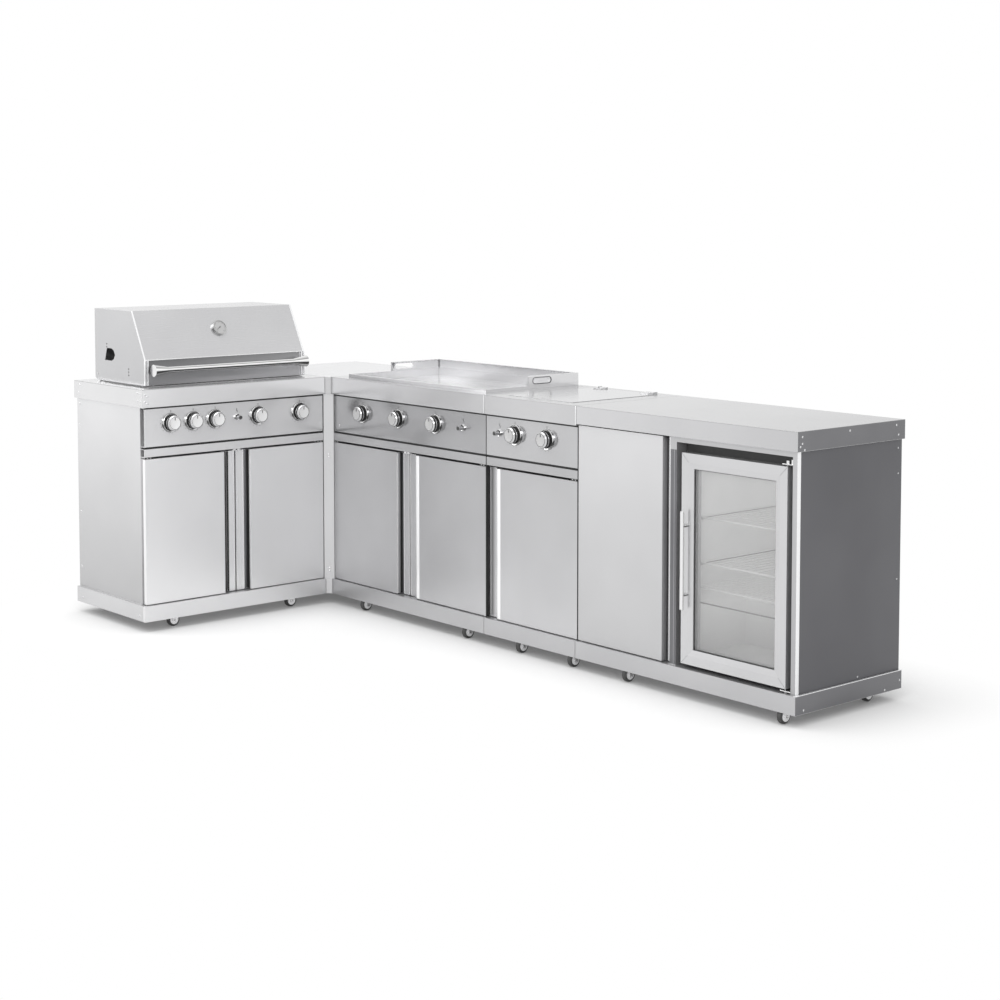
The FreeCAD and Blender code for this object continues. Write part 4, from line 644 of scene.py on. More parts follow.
# A bar of painted shade lies on the left wing door's pull strip, at its inner edge.
shade_u = GAP + WING_LEAF - STRIP
strip_shade = upright("grill", shade_u, shade_u + 0.008, 0.0162, 0.0176, DOOR_HIGH, 0.0004)
make_piece("grill_door_left_strip_shade", [strip_shade], groove_dark, "grill_door_left")

# Hinge plates and magnet catches: small folded parts that show in the gap over the doors. The plates are
# dark with bright rivets, and the bright catches hold each pair of doors shut in the middle.
HEADER_LOW = 0.663
HINGES = [("grill", [(GAP, 1), (GRILL_W - GAP, -1)]), ("griddle", [(GAP, 1), (GRIDDLE_W - GAP, -1)]),
          ("side", [(SIDE_W - GAP, -1)])]
for module, door_edges in HINGES:
    plates, rivets = [], []
    for edge, sign in door_edges:
        ends = sorted((edge + sign * 0.001, edge + sign * 0.034))
        plates.append(block(module, ends[0], ends[1], -0.0006, 0.0014, HEADER_LOW - 0.0062,
                            HEADER_LOW - 0.0002, 0.0005))
        for shift in (0.010, 0.024):
            centre = at(module, (edge + sign * shift, -0.0006, HEADER_LOW - 0.0032))
            rivets.append(dome(centre, facing(module, "front"), 0.0021, 0.0009, 14))
    make_piece(f"{module}_hinge_plates", plates, groove_dark, "island")
    make_piece(f"{module}_hinge_rivets", rivets, bright_screw, "island")
catches = [block(module, low_u, low_u + 0.012, 0.002, 0.016, HEADER_LOW - 0.0070, HEADER_LOW - 0.0002, 0.0008)
           for module, middle in (("grill", GRILL_W / 2), ("griddle", GRIDDLE_W / 2))
           for low_u in (middle - 0.016, middle + 0.004)]
make_piece("magnet_catches", catches, strip_metal, "island")

# Shadow gaps: dark bars of painted shadow lie in the open joints between the fascia, the control panels and
# the header rail, and between the modules. Thin bright strips cover the seams in the run's fascia, each
# with a strip of painted shade beside it.
CONTROL_HIGH, CONTROL_LOW = wing_high.z, wing_low.z
FASCIA_LOW, FASCIA_HIGH = CONTROL_HIGH + 0.004, 0.9185
SEAMS = (GRIDDLE_W, COLD_X - GRIDDLE_X)
gap_shadows = []
for module, width in (("grill", GRILL_W), ("griddle", GRIDDLE_W), ("side", SIDE_W)):
    gap_shadows.append(block(module, 0.001, width - 0.001, -0.0004, 0.020, CONTROL_HIGH - 0.0052,
                       CONTROL_HIGH + 0.0019, 0.0004))
    gap_shadows.append(block(module, 0.003, width - 0.003, 0.002, 0.020, CONTROL_LOW - 0.0078,
                       CONTROL_LOW - 0.0002, 0.0008))
for module, u in (("griddle", 0.002), ("grill", GRILL_W - 0.002)):
    gap_shadows.append(block(module, u - 0.0018, u + 0.0016, -0.0004, 0.012, CONTROL_LOW, CONTROL_HIGH, 0.0003))
for u in SEAMS:
    gap_shadows.append(block("griddle", u - 0.0019, u + 0.0019, -0.0006, 0.012, DOOR_LOW + 0.001, CONTROL_HIGH,
                       0.0003))
gap_shadows.append(block("cold", 0.4403, 0.4434, 0.004, 0.012, DOOR_LOW + 0.001, COLD_DOOR_HIGH, 0.0003))
make_piece("painted_gap_shadows", gap_shadows, groove_dark, "island")
seam_strips = [block("griddle", u - 0.0022, u + 0.0022, -0.0128, -0.0110, FASCIA_LOW, FASCIA_HIGH, 0.0004)
               for u in SEAMS]
make_piece("fascia_seam_strips", seam_strips, strip_metal, "island")
seam_shades = [block("griddle", u + 0.0024, u + 0.0042, -0.0126, -0.0112, FASCIA_LOW, FASCIA_HIGH, 0.0004)
               for u in SEAMS]
make_piece("fascia_seam_shades", seam_shades, wall_mid, "island")

# Divider stile: a thin cover in a dark tone of painted shade stands beside the fridge opening. One paler
# fold line, a painted highlight, runs down its face.
STILE_LOW, STILE_HIGH = 0.1035, 0.8135
dark_painted_shade = steel("dark painted shade", 0.15, 0.36, GRAIN_UP, metallic=0.5)
cover = block("cold", 0.4436, 0.4706, -0.0004, 0.0004, STILE_LOW, STILE_HIGH, 0.0002)
make_piece("divider_cover", [cover], dark_painted_shade, "island")
fold_line = block("cold", 0.4600, 0.4622, -0.0006, 0.0002, STILE_LOW, STILE_HIGH, 0.0002)
make_piece("divider_fold_line", [fold_line], wall_mid, "island")

# Control panels: polished sheet between the fascia and the header rail, which mirrors the knobs. The three
# panels are lit and shaded copies of one steel: the wing's faces the light, and its palest tone is painted
# light.
dress(["grill_control_panel"], steel("wing panel", 0.90, 0.20, GRAIN_ALONG_WING, streak=0.03))
dress(["griddle_control_panel"], steel("run panel", 0.43, 0.17, GRAIN_ALONG_RUN, streak=0.03))
dress(["side_control_panel"], steel("side panel", 0.52, 0.17, GRAIN_ALONG_RUN, streak=0.03))

# Knobs: turned metal with a brushed face, a polished rim and a dark waist of painted shade, in a polished
# bezel ring. The faces are lit and shaded copies, pale on the wing and darker on the run. Polished round
# parts carry a painted reflection set by which way each face turns: a dark horizon and a bright upper
# side, as chrome shows in a lit room.
PAINTED_REFLECTION_BANDS = [(0.0, grey(0.42)), (0.20, grey(0.56)), (0.30, grey(0.08)), (0.44, grey(0.10)),
                (0.485, grey(0.84)), (0.68, grey(0.97)), (0.76, grey(0.26)), (0.84, grey(0.62)),
                (1.0, grey(0.90))]
# Chrome: its base colour is a painted reflection, a ramp over which way each face turns.
chrome, tree, output = fresh_material("chrome with painted reflection")
place = tree.nodes.new("ShaderNodeTexCoord")
turned = add_node(tree, "ShaderNodeSeparateXYZ", Vector=place.outputs["Normal"])
rise = spread(tree, turned.outputs["Z"], -1.0, 1.0)
speck = add_node(tree, "ShaderNodeTexNoise", Vector=place.outputs["Object"], Scale=700.0)
shine = ramp(tree, speck.outputs["Fac"], [(0.3, grey(0.06)), (0.7, grey(0.12))])
shader = add_node(tree, "ShaderNodeBsdfPrincipled", Metallic=1.0, Roughness=shine)
tree.links.new(ramp(tree, rise, PAINTED_REFLECTION_BANDS), shader.inputs["Base Color"])
tree.links.new(shader.outputs[0], output.inputs["Surface"])
dress(["knob_bezels"], chrome)
KNOB_Z = 0.787
KNOB_SETS = [("grill", (0.116, 0.214, 0.312, 0.508, 0.704)), ("griddle", (0.196, 0.425, 0.654)),
             ("side", (0.160, 0.330))]
knob_metal = steel("knob metal", 0.62, 0.16, GRAIN_UP, streak=0.03, edge_round=0.0008)
BRUSHED = {"bump": (0.06, 0.0002), "Metallic": 0.35, "Roughness": 0.30}
lit_knob_face = coating("lit wing knob face", 900.0, 0.80, 0.97, **BRUSHED)
shaded_knob_face = coating("shaded run knob face", 900.0, 0.34, 0.72, **BRUSHED)
ink = coating("printed mark ink", 1500.0, 0.03, 0.07, Roughness=0.5)
FACE = [(0.0, 0.0002), (0.018, 0.0004), (0.0215, 0.0011), (0.0235, 0.0012), (0.0245, 0.0003),
        (0.0245, -0.001), (0.0, -0.001)]
FLUTE = [(0.0, 0.0024), (0.0008, 0.0021), (0.0010, 0.0), (0.0008, -0.0021), (0.0, -0.0024)]
FLUTE_R = 0.0288
SHADE_BANDS = [
    [(0.0291, 0.0262), (0.0296, 0.0258), (0.0296, 0.0196), (0.0291, 0.0192), (0.0286, 0.0235)],
    [(0.0224, 0.0322), (0.0226, 0.0325), (0.0236, 0.0325), (0.0238, 0.0318), (0.0230, 0.0314)],
    [(0.0272, 0.0139), (0.0214, 0.0062), (0.0214, 0.0042), (0.0208, 0.0042), (0.0208, 0.0060),
     (0.0266, 0.0137)],
]


def closed(ring):
    """Joins a lathe profile's last row to its first, for rings with a hole through them."""
    return np.concatenate([ring, ring[:1]])


def beside_knob(module, u, v, radius, turn):
    """A point round a knob's middle: (u + radius * cos(turn), v, knob height + radius * sin(turn))."""
    return at(module, (u + radius * math.cos(turn), v, KNOB_Z + radius * math.sin(turn)))


def knob_parts(module, index, u):
    """A face with a raised lip, a pointer mark near its rim, and fine flutes and dark lines of painted shade
    on the body.
    """
    name = f"{module}_knob_{index}"
    out = facing(module, "front")
    face = lathe(FACE, at(module, (u, -0.031, KNOB_Z)), out, 48)
    make_piece(f"{name}_face", [face], lit_knob_face if module == "grill" else shaded_knob_face, name)
    mark = block(module, u - 0.0013, u + 0.0013, -0.0326, -0.0308, KNOB_Z + 0.011, KNOB_Z + 0.0215, 0.0003)
    make_piece(f"{name}_mark", [mark], ink, name)
    flutes = [lathe(FLUTE, beside_knob(module, u, -0.0180, FLUTE_R, turn), out, 6)
              for turn in np.linspace(0, 2 * np.pi, 40, endpoint=False)]
    make_piece(f"{name}_flutes", flutes, chrome, name)
    middle = at(module, (u, 0.0, KNOB_Z))
    bands = [closed(lathe(band, middle, out, 48)) for band in SHADE_BANDS]
    make_piece(f"{name}_bands", bands, groove_dark, name)


for module, places in KNOB_SETS:
    for index, u in enumerate(places, start=1):
        dress([f"{module}_knob_{index}"], knob_metal)
        knob_parts(module, index, u)

# Bezel lips and printed marks: a polished lip and two dark rings of painted shadow lie round each knob's
# foot. On the panel one long mark is printed at the top, and small dots run from nine o'clock to just past
# six.
LIP = [(0.0325, 0.0), (0.0332, 0.0014), (0.0350, 0.0018), (0.0364, 0.0010), (0.0368, -0.0005),
       (0.0325, -0.0005)]
DISH = [(0.0222, 0.0004), (0.0316, 0.0004), (0.0316, -0.0002), (0.0222, -0.0002)]
FOOT_RING = [(0.0366, 0.0006), (0.0377, 0.0004), (0.0377, -0.0001), (0.0366, -0.0001)]
LAST_DOT = 280
lip_rings, dots, shadow_rings = [], [], []
for module, places in KNOB_SETS:
    out = facing(module, "front")
    for u in places:
        raised, level = at(module, [(u, -0.004, KNOB_Z), (u, 0.0, KNOB_Z)])
        lip_rings.append(lathe(LIP, raised, out, 56))
        shadow_rings.append(closed(lathe(DISH, raised, out, 48)))
        shadow_rings.append(closed(lathe(FOOT_RING, level, out, 48)))
        for degrees in range(180, LAST_DOT + 1, 20):
            size = 0.0010 + 0.0005 * (LAST_DOT - degrees) / 100
            spot = beside_knob(module, u, 0.0, 0.0435, math.radians(degrees))
            dot = [(0.0, 0.0003), (size, 0.00025), (size, -0.0001), (0.0, -0.0001)]
            dots.append(lathe(dot, spot, out, 14))
        dots.append(block(module, u - 0.0011, u + 0.0011, -0.0003, 0.0002, KNOB_Z + 0.0400, KNOB_Z + 0.0480,
                          0.0002))
make_piece("bezel_lips", lip_rings, chrome, "island")
make_piece("bezel_shadow_rings", shadow_rings, groove_dark, "island")
make_piece("knob_scale_marks", dots, ink, "island")

# Igniters: a dark push button in a bright collar, with one on each control panel. A small spark mark is
# printed over it.
BUTTON_CAP = [(0.0, 0.0006), (0.004, 0.0010), (0.0074, 0.0002), (0.0074, -0.0012), (0.0, -0.0012)]
COLLAR = [(0.0092, 0.0), (0.0096, 0.0012), (0.0112, 0.0016), (0.0120, 0.0008), (0.0122, -0.0006),
          (0.0092, -0.0006)]
SPARK = [(-0.002, 0.0005, 0.026, 0.034), (-0.002, 0.003, 0.0245, 0.0262), (0.0008, 0.003, 0.018, 0.0250)]
button_metal = steel("igniter button", 0.34, 0.20, GRAIN_UP)
for module, u in (("grill", 0.410), ("griddle", 0.820), ("side", 0.076)):
    out = facing(module, "front")
    dress([f"{module}_igniter"], button_metal)
    cap = lathe(BUTTON_CAP, at(module, (u, -0.028, KNOB_Z)), out, 28)
    make_piece(f"{module}_igniter_cap", [cap], ink, f"{module}_igniter")
    ring = lathe(COLLAR, at(module, (u, -0.005, KNOB_Z)), out, 36)
    make_piece(f"{module}_igniter_ring", [ring], chrome, "island")
    spark = [block(module, u + left, u + right, -0.0003, 0.0002, KNOB_Z + low, KNOB_Z + high, 0.0002)
             for left, right, low, high in SPARK]
    make_piece(f"{module}_spark_mark", spark, ink, "island")

# Grill hood: one folded shell with a polished slope, and a band behind the handle in painted shade and
# painted reflection, darkest under the slope and lighter towards the right. Bright channels run down its
# ends and along the fold, and rivets hold the cheeks.
HOOD_IN, HOOD_OUT = 0.044, GRILL_W - 0.044
BAND_LOW, BAND_TOP, HOOD_TOP = 0.925, 1.022, 1.205
HOOD_V, TOP_V = 0.070, 0.165
SLOPE_RUN, SLOPE_RISE = TOP_V - HOOD_V, HOOD_TOP - BAND_TOP
SLOPE = math.hypot(SLOPE_RUN, SLOPE_RISE)
SLOPE_OUT = np.array([SLOPE_RISE / SLOPE, 0.0, SLOPE_RUN / SLOPE])
WING_RIGHT = facing("grill", "right")
TRIM = np.array([(-0.0035, -0.0004), (0.0035, -0.0004), (0.0035, 0.0016), (0.0015, 0.0026),
                 (-0.0015, 0.0026), (-0.0035, 0.0016)])
dress(["grill_hood"], steel("hood sheet", 0.56, 0.24, GRAIN_ALONG_WING, streak=0.04, edge_round=0.0012))


def swept(outline, start, end, across, outward):
    """A closed (a, b) outline carried from start to end: point + a * across + b * outward, ends shut."""
    rows = [point + outline[:, :1] * across + outline[:, 1:] * outward for point in (start, end)]
    first, last = [np.repeat(point[None], len(outline), axis=0) for point in (start, end)]
    return np.stack([first, *rows, last])


slope_trim = []
for u in (HOOD_IN + 0.004, HOOD_OUT - 0.004):
    low, high = at("grill", [(u, HOOD_V, BAND_TOP), (u, TOP_V, HOOD_TOP)])
    slope_trim.append(swept(TRIM, low, high, WING_RIGHT, SLOPE_OUT))
make_piece("hood_slope_trim", slope_trim, strip_metal, "hood")
channels = [block("grill", low_u, low_u + 0.004, HOOD_V - 0.006, HOOD_V + 0.0004, BAND_LOW + 0.001,
                  BAND_TOP - 0.001, 0.001)
            for low_u in (HOOD_IN, HOOD_IN + 0.013, HOOD_OUT - 0.004, HOOD_OUT - 0.017)]
channels.append(block("grill", HOOD_IN, HOOD_OUT, HOOD_V - 0.0045, HOOD_V + 0.0004, BAND_TOP - 0.002,
                      BAND_TOP + 0.0015, 0.001))
make_piece("hood_band_channels", channels, strip_metal, "hood")
band_shade = steel("hood band painted shade", 0.30, 0.22, GRAIN_ALONG_WING, streak=0.04,
                  painted_light_shares=[("Y", -0.6, 0.1, 0.8, 1.3), ("Z", BAND_LOW, BAND_TOP, 1.35, 0.62)])
band_face = block("grill", HOOD_IN + 0.0172, HOOD_OUT - 0.0172, HOOD_V - 0.0008, HOOD_V + 0.0002,
                  BAND_LOW + 0.001, BAND_TOP - 0.0025, 0.0003)
make_piece("hood_band_face", [band_face], band_shade, "hood")
cheek_dots = []
for u, side in ((HOOD_IN, "left"), (HOOD_OUT, "right")):
    for v, z in ((0.185, 0.958), (0.185, 0.970), (0.185, 0.982), (0.352, 1.070), (0.352, 1.058)):
        cheek_dots.append(dome(at("grill", (u, v, z)), facing("grill", side), 0.0032, 0.0007, 14))
make_piece("hood_cheek_rivets", cheek_dots, slot_dark, "hood")

# Hood handle: a polished tube between two long turned cones, which stand off the band. It is held by
# screws from inside the hood, so none of them show.
dress(["hood_handle"], chrome)

# Thermometer: a polished ring let into the hood's slope, with a paper dial, printed ticks and a needle on a
# small boss. The needle rests near the low end of the scale.
dress(["hood_thermometer"], chrome)
DIAL_RISE = 0.105
DIAL_V = HOOD_V + SLOPE_RUN * DIAL_RISE / SLOPE_RISE
DIAL_UP = np.cross(SLOPE_OUT, WING_RIGHT)
face_centre = at("grill", (GRILL_W / 2, DIAL_V, BAND_TOP + DIAL_RISE)) + SLOPE_OUT * 0.0093
dial_paper = coating("dial face paper", 500.0, 0.38, 0.46, Roughness=0.55)
dial_face = lathe([(0.0, 0.0004), (0.0265, 0.0004), (0.0265, 0.0), (0.0, 0.0)], face_centre, SLOPE_OUT, 48)
make_piece("dial_face", [dial_face], dial_paper, "hood")


def dial_bar(turn, inner, outer, width, lift):
    """A thin bar on the dial from one radius to another at a turn from the dial's right."""
    along = math.cos(turn) * WING_RIGHT + math.sin(turn) * DIAL_UP
    across = -math.sin(turn) * WING_RIGHT + math.cos(turn) * DIAL_UP
    outline = np.array([(-width / 2, 0.0), (width / 2, 0.0), (width / 2, 0.0003), (-width / 2, 0.0003)])
    base = face_centre + SLOPE_OUT * lift
    return swept(outline, base + along * inner, base + along * outer, across, SLOPE_OUT)


TICKS = 25
SCALE_START, SCALE_SPAN = 230, 280
dial_marks = []
for step in range(TICKS):
    turn = math.radians(SCALE_START - step * SCALE_SPAN / (TICKS - 1))
    inner, width = (0.0195, 0.0011) if step % 4 == 0 else (0.0215, 0.0005)
    dial_marks.append(dial_bar(turn, inner, 0.0245, width, 0.0004))
dial_marks.append(dial_bar(math.radians(215), -0.006, 0.019, 0.0013, 0.0012))
boss = [(0.0, 0.0022), (0.0022, 0.0018), (0.0026, 0.0), (0.0, 0.0)]
dial_marks.append(lathe(boss, face_centre, SLOPE_OUT, 20))
make_piece("dial_ticks_and_needle", dial_marks, ink, "hood")

# Hood clip: a small bent clip of polished metal on the hood's top. It is fixed at the back edge, a little
# to the right of the middle.
clip = block("grill", 0.476, 0.492, 0.432, 0.4446, HOOD_TOP - 0.0060, HOOD_TOP - 0.0002, 0.0012)
make_piece("hood_top_clip", [clip], chrome, "hood")

# Inside the grill: the firebox, the burner tubes, their tamers and the tray are thin sheet and tube, stained
# by heat. The cooking grates and the warming rack are welded from bright rod, and lift out.
dress(["firebox", "grill_burners", "flame_tamers", "drip_tray"],
      steel("heat stained liner", 0.46, 0.42, GRAIN_ALONG_WING, cloud=0.09))
dress(["cooking_grates", "warming_rack"],
      steel("rod metal", 0.70, 0.24, GRAIN_ALONG_WING, streak=0.04, edge_round=0.0006))

# Griddle: a thick flat plate lies in a tray of folded sheet with a bright raised rim. Its burners are of the
# same steel and lie under the plate.
dress(["griddle_tray"], steel("griddle tray", 0.69, 0.18, GRAIN_ALONG_RUN, streak=0.03, edge_round=0.0014))
dress(["griddle_plate", "griddle_burners"], steel("griddle plate", 0.72, 0.24, GRAIN_ALONG_RUN, cloud=0.05))

# Wind guard: thin polished sheet, folded round three sides of the plate and spot welded at its corners. The
# finger slots in its arms have rolled lips, bright with painted light on the left arm and dark with painted
# shade on the right, and a small gusset in a dark grey of painted shade stiffens the left arm's front
# corner.
dress(["wind_guard"], steel("wind guard sheet", 0.715, 0.17, GRAIN_ALONG_RUN, streak=0.03))
RIM_TOP, GUARD_TOP = 0.932, 0.968
SLOT_FRONT, SLOT_BACK, SLOT_HALF, SLOT_MID = 0.272, 0.364, 0.011, 0.950
LIP_R, LIP_SHIFT = 0.0013, 0.0008


def slot_loop(u):
    """Rolled lip round a slot: a small circle carried round two half circles and the sides between them."""
    steps = 12
    back_arc = np.linspace(-np.pi / 2, np.pi / 2, steps)
    front_arc = np.linspace(np.pi / 2, 3 * np.pi / 2, steps)
    arc = np.concatenate([back_arc, front_arc])
    middle = np.repeat([SLOT_BACK - SLOT_HALF, SLOT_FRONT + SLOT_HALF], steps)
    rows = []
    for turn in [*np.linspace(0, 2 * np.pi, 8, endpoint=False), 0.0]:
        reach = SLOT_HALF + LIP_SHIFT + LIP_R * math.cos(turn)
        lip_u = np.full_like(arc, u + LIP_R * math.sin(turn))
        lip = np.stack([lip_u, middle + reach * np.cos(arc), SLOT_MID + reach * np.sin(arc)], axis=-1)
        rows.append(at("griddle", lip))
    return np.stack(rows)


make_piece("guard_slot_lips", [slot_loop(u) for u in (0.050, 0.052)], strip_metal, "island")
make_piece("guard_slot_edges", [slot_loop(u) for u in (0.898, 0.900)], groove_dark, "island")
guard_low, guard_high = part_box("wind_guard")
GUARD_FRONT = guard_low.y - RUN_Y
GUARD_BACK = guard_high.y - RUN_Y - 0.0015
LEFT_ARM, RIGHT_ARM = guard_low.x - GRIDDLE_X + 0.0016, guard_high.x - GRIDDLE_X - 0.0016
TOP_LINE = (GUARD_TOP - 0.0026, GUARD_TOP - 0.0008)
RIM_LINE = (RIM_TOP - 0.0010, RIM_TOP + 0.0016)
ARM_V = GUARD_FRONT + 0.001
# Dark lines of painted shade run down the guard's back corners and along its top edge and its foot at the
# rim.
guard_lines = []
for u, sign in ((LEFT_ARM, 1), (RIGHT_ARM, -1)):
    low_u, high_u = sorted((u, u + sign * 0.0022))
    guard_lines += [
        block("griddle", low_u, high_u, GUARD_BACK - 0.0030, GUARD_BACK - 0.0004, RIM_TOP + 0.001,
              GUARD_TOP - 0.001, 0.0004),
        block("griddle", low_u - 0.0002, high_u - 0.0008, ARM_V, GUARD_BACK, *TOP_LINE, 0.0004),
        block("griddle", low_u, high_u, ARM_V, GUARD_BACK, *RIM_LINE, 0.0004)]
guard_lines.append(block("griddle", LEFT_ARM, RIGHT_ARM, GUARD_BACK - 0.0012, GUARD_BACK, *TOP_LINE, 0.0003))
guard_lines.append(block("griddle", LEFT_ARM, RIGHT_ARM, GUARD_BACK - 0.0020, GUARD_BACK, *RIM_LINE, 0.0003))
make_piece("guard_fold_lines", guard_lines, dark_painted_shade, "island")
GUSSET_U0, GUSSET_U1 = LEFT_ARM + 0.0003, LEFT_ARM + 0.0019
gusset = []
for z, reach in ((GUARD_TOP - 0.001, 0.0), (GUARD_TOP - 0.001, 0.020), (RIM_TOP + 0.002, 0.004),
                 (RIM_TOP + 0.002, 0.0)):
    gusset.append(at("griddle", [(GUSSET_U0, ARM_V, z), (GUSSET_U1, ARM_V, z),
                                 (GUSSET_U1, ARM_V + reach, z), (GUSSET_U0, ARM_V + reach, z)]))
make_piece("guard_gusset", [np.stack(gusset)], groove_grey, "island")

# Side burner: a dark pressed bowl holds a cast iron ring burner and pan support. A polished lid lies flush
# over them and swings up at its back edge.
dress(["burner_bowl"], steel("burner bowl", 0.36, 0.40, GRAIN_ALONG_RUN, cloud=0.06))
dress(["ring_burner", "pan_support"],
      coating("cast iron", 380.0, 0.025, 0.06, detail=4.0, shine=(0.5, 0.72), bump=(0.5, 0.0006),
              Metallic=0.4))
dress(["side_lid"], steel("side lid sheet", 0.56, 0.17, GRAIN_ALONG_RUN, streak=0.03, edge_round=0.0012))

# Fridge: a dark insulated body with a pale moulded lining, coated wire shelves and a low rack. The lining
# has a faint painted glow and is darkened by painted shade lower down. The door is a brushed frame with a
# bar handle round tinted glass, held and sealed by rubber. Polished plates cover its hinges at the top and
# the foot.
body_dark = coating("fridge body", 300.0, 0.03, 0.05, detail=3.0, bump=(0.2, 0.0004), Roughness=0.5)
dress(["fridge_body"], body_dark)
# The lining's tone is darkened by painted shade towards the floor and just above the step, and it has a faint
# painted glow.
lining, tree, output = fresh_material("fridge lining")
place = tree.nodes.new("ShaderNodeTexCoord").outputs["Object"]
speck = add_node(tree, "ShaderNodeTexNoise", Vector=place, Scale=12.0, Detail=2.0)
tones = ramp(tree, speck.outputs["Fac"], [(0.3, grey(0.94)), (0.7, grey(1.0))])
level = add_node(tree, "ShaderNodeSeparateXYZ", Vector=place)
painted_lining_shade = ramp(tree, level.outputs["Z"],
           [(0.13, grey(0.42)), (0.29, grey(0.74)), (0.34, grey(0.60)), (0.80, grey(0.92))])
lined = add_node(tree, "ShaderNodeMixRGB", blend_type="MULTIPLY", Fac=1.0, Color1=tones, Color2=painted_lining_shade)
PAINTED_LINING_GLOW = {"Base Color": lined.outputs[0], "Emission Color": lined.outputs[0], "Emission Strength": 0.22}
shader = add_node(tree, "ShaderNodeBsdfPrincipled", Roughness=0.35, **PAINTED_LINING_GLOW)
tree.links.new(shader.outputs[0], output.inputs["Surface"])
IN_U0, IN_U1, IN_Z0, IN_Z1, IN_V0, IN_V1 = 0.509, 0.925, 0.134, 0.801, 0.052, 0.469
STEP_V, STEP_Z = 0.299, 0.284
LIFT, SKIN = 0.0001, 0.0008
lining_walls = [
    (IN_U0 + LIFT, IN_U0 + SKIN, IN_V0, IN_V1, IN_Z0, IN_Z1),
    (IN_U1 - SKIN, IN_U1 - LIFT, IN_V0, IN_V1, IN_Z0, IN_Z1),
    (IN_U0, IN_U1, IN_V1 - SKIN, IN_V1 - LIFT, IN_Z0, IN_Z1),
    (IN_U0, IN_U1, IN_V0, IN_V1, IN_Z1 - SKIN, IN_Z1 - LIFT),
    (IN_U0, IN_U1, IN_V0, STEP_V - 0.001, IN_Z0 + LIFT, IN_Z0 + SKIN),
    (IN_U0, IN_U1, STEP_V - SKIN, STEP_V, IN_Z0, STEP_Z),
    (IN_U0, IN_U1, STEP_V, IN_V1, STEP_Z + LIFT, STEP_Z + LIFT + SKIN),
]
make_piece("fridge_lining", [block("cold", *wall, 0.0003) for wall in lining_walls], lining, "island")
seal = coating("door seal rubber", 260.0, 0.02, 0.04, Roughness=0.7)
FRAME_U0, FRAME_U1, FRAME_Z0, FRAME_Z1 = 0.494, 0.942, 0.113, 0.807


def square_ring(inset, width, v0, v1, bevel):
    """Four butted bars that close a rectangle, at an inset from the outline of the fridge door."""
    u0, u1, z0, z1 = FRAME_U0 + inset, FRAME_U1 - inset, FRAME_Z0 + inset, FRAME_Z1 - inset
    bars = [(u0, u1, z1 - width, z1), (u0, u1, z0, z0 + width),
            (u0, u0 + width, z0 + width, z1 - width), (u1 - width, u1, z0 + width, z1 - width)]
    return [block("cold", left, right, v0, v1, low, high, bevel) for left, right, low, high in bars]


make_piece("fridge_door_seal", square_ring(0.012, 0.009, 0.0400, 0.0444, 0.002), seal, "fridge_door")
dress(["fridge_door_frame"], steel("fridge door frame", 0.60, 0.22, GRAIN_UP, streak=0.03, edge_round=0.0012))
dress(["fridge_handle"], chrome)
make_piece("glass_seal", square_ring(0.0492, 0.0030, 0.0085, 0.0118, 0.0005), seal, "fridge_door")
MITRE = np.array([(-0.00035, -0.0002), (0.00035, -0.0002), (0.00035, 0.0001), (-0.00035, 0.0001)])
RUN_OUT = facing("cold", "front")
mitres = []
for z, up in ((FRAME_Z0, 1), (FRAME_Z1, -1)):
    for u, right in ((FRAME_U0, 1), (FRAME_U1, -1)):
        corner, inner = at("cold", [(u + right * reach, -0.00005, z + up * reach)
                                    for reach in (0.001, 0.030)])
        across = np.cross((inner - corner) / np.linalg.norm(inner - corner), RUN_OUT)
        mitres.append(swept(MITRE, corner, inner, across, RUN_OUT))
make_piece("fridge_frame_mitres", mitres, groove_dark, "fridge_door")
dress(["fridge_glass"], coating("tinted door glass", 2.0, 0.46, 0.52, Roughness=0.02, IOR=1.45, Alpha=0.30))
shelf_wire = coating("coated shelf wire", 90.0, 0.90, 0.95, Roughness=0.30)
dress(["fridge_shelves"], shelf_wire)
PLATE = 0.0040
TOP_PLATE, FOOT_PLATE = 0.8118, 0.1042
covers = [block("cold", 0.921, 0.9625, -0.0008, 0.0275, low, low + PLATE, 0.0008)
          for low in (TOP_PLATE, FOOT_PLATE)]
for u, v, radius, rise in ((0.936, 0.010, 0.0060, 0.010), (0.953, 0.012, 0.0045, 0.014)):
    for z, up, height in ((TOP_PLATE + PLATE, 1, rise), (FOOT_PLATE, -1, PLATE)):
        pin = [(0.0, height), (radius * 0.8, height), (radius, height - 0.001), (radius, 0.0), (0.0, 0.0)]
        covers.append(lathe(pin, at("cold", (u, v, z)), (0, 0, up), 24))
make_piece("fridge_hinge_covers", covers, chrome, "island")
RACK_Z = 0.362
WIRE_R = 0.0024


def wire(spot, direction, length):
    """A straight wire from a spot in the fridge module's frame."""
    rod = [(0.0, 0.0), (WIRE_R, 0.0), (WIRE_R, length), (0.0, length)]
    return lathe(rod, at("cold", spot), direction, 8)


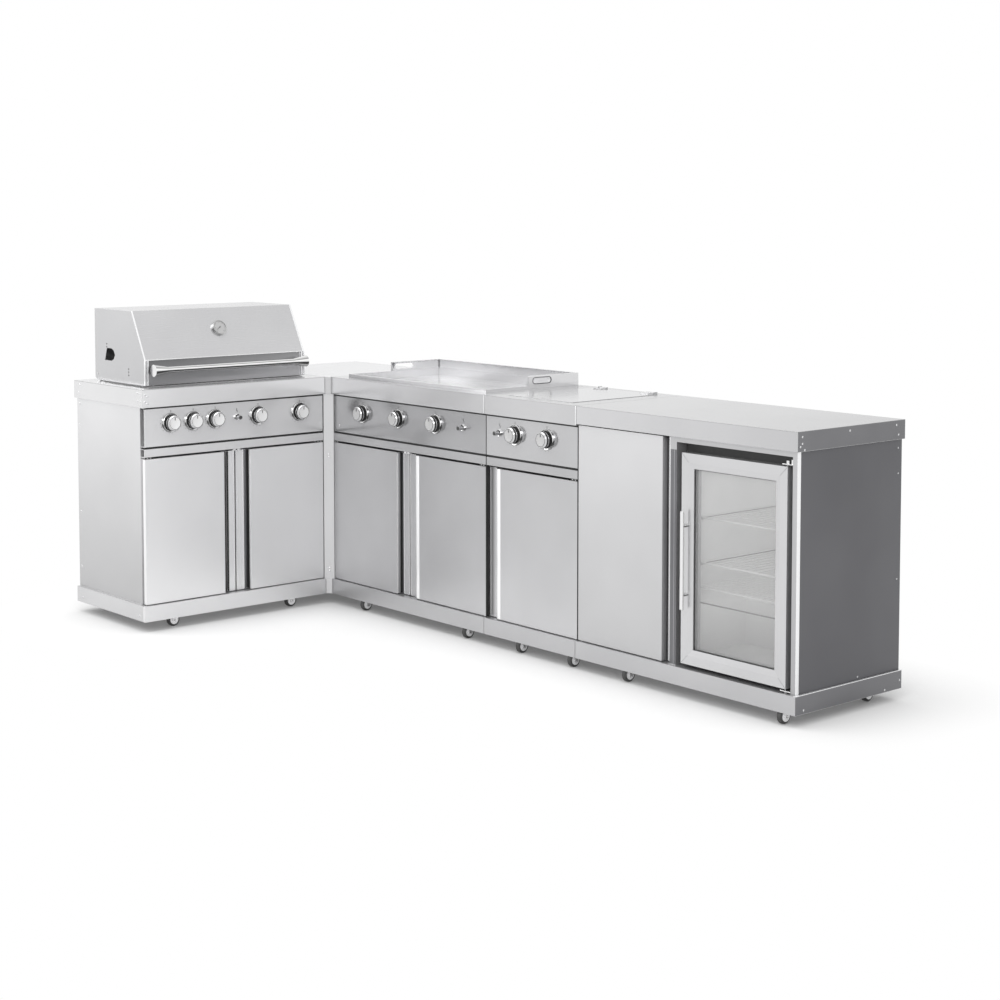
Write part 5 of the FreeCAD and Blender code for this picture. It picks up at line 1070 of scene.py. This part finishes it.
rack = [wire((IN_U0 + 0.012 + step * 0.0218, 0.066, RACK_Z), (0, 1, 0), 0.330) for step in range(19)]
rack += [wire((IN_U0 + 0.004, v, RACK_Z - 0.0040), (1, 0, 0), 0.408) for v in (0.0665, 0.3955)]
make_piece("fridge_low_rack", rack, shelf_wire, "island")
sill = block("cold", IN_U0 + 0.001, IN_U1 - 0.001, 0.0535, 0.0600, 0.3090, 0.3125, 0.0008)
make_piece("fridge_sill", [sill], body_dark, "island")

# Casters: pressed steel forks stand over dark rubber tyres. Each wheel has a pale hub cap on both sides, and
# an axle bolt with a six-sided head goes through the fork.
dress(["caster_forks"], steel("caster fork", 0.86, 0.26, GRAIN_UP, streak=0.04))
WHEEL_R = 0.025
RUN_CASTERS = [("griddle", 0.197), ("griddle", GRIDDLE_W - 0.119), ("side", 0.185), ("side", SIDE_W - 0.032),
               ("cold", 0.240), ("cold", COLD_W - 0.054)]
WHEELS = {}
for name, v in (("run_front_wheels", 0.012), ("run_rear_wheels", 0.421)):
    WHEELS[name] = [at(module, (u, v, WHEEL_R)) for module, u in RUN_CASTERS]
for name, u in (("grill_left_wheels", 0.135), ("grill_right_wheels", GRILL_W - 0.144)):
    WHEELS[name] = [at("grill", (u, v, WHEEL_R)) for v in (0.034, 0.443)]
dress(WHEELS, coating("caster tyre", 140.0, 0.03, 0.065, detail=4.0, shine=(0.45, 0.65)))
hub_metal = steel("hub cap", 0.95, 0.30, GRAIN_UP, edge_round=0.0, metallic=0.3)
HUB = [(0.0, 0.0006), (0.006, 0.0006), (0.009, 0.0004), (0.0172, 0.0006), (0.0176, -0.0014), (0.0, -0.0014)]
BOLT = [(0.0, 0.0052), (0.0028, 0.0050), (0.0040, 0.0042), (0.0040, 0.0034), (0.0, 0.0034)]
for name, centres in WHEELS.items():
    caps, bolts = [], []
    for centre in centres:
        for out in (np.array([-1.0, 0.0, 0.0]), np.array([1.0, 0.0, 0.0])):
            caps.append(lathe(HUB, centre + out * 0.0100, out, 28))
            bolts.append(lathe(BOLT, centre + out * 0.0100, out, 6))
    make_piece(f"{name}_hub_caps", caps, hub_metal, name)
    make_piece(f"{name}_axle_bolts", bolts, chrome, "island")
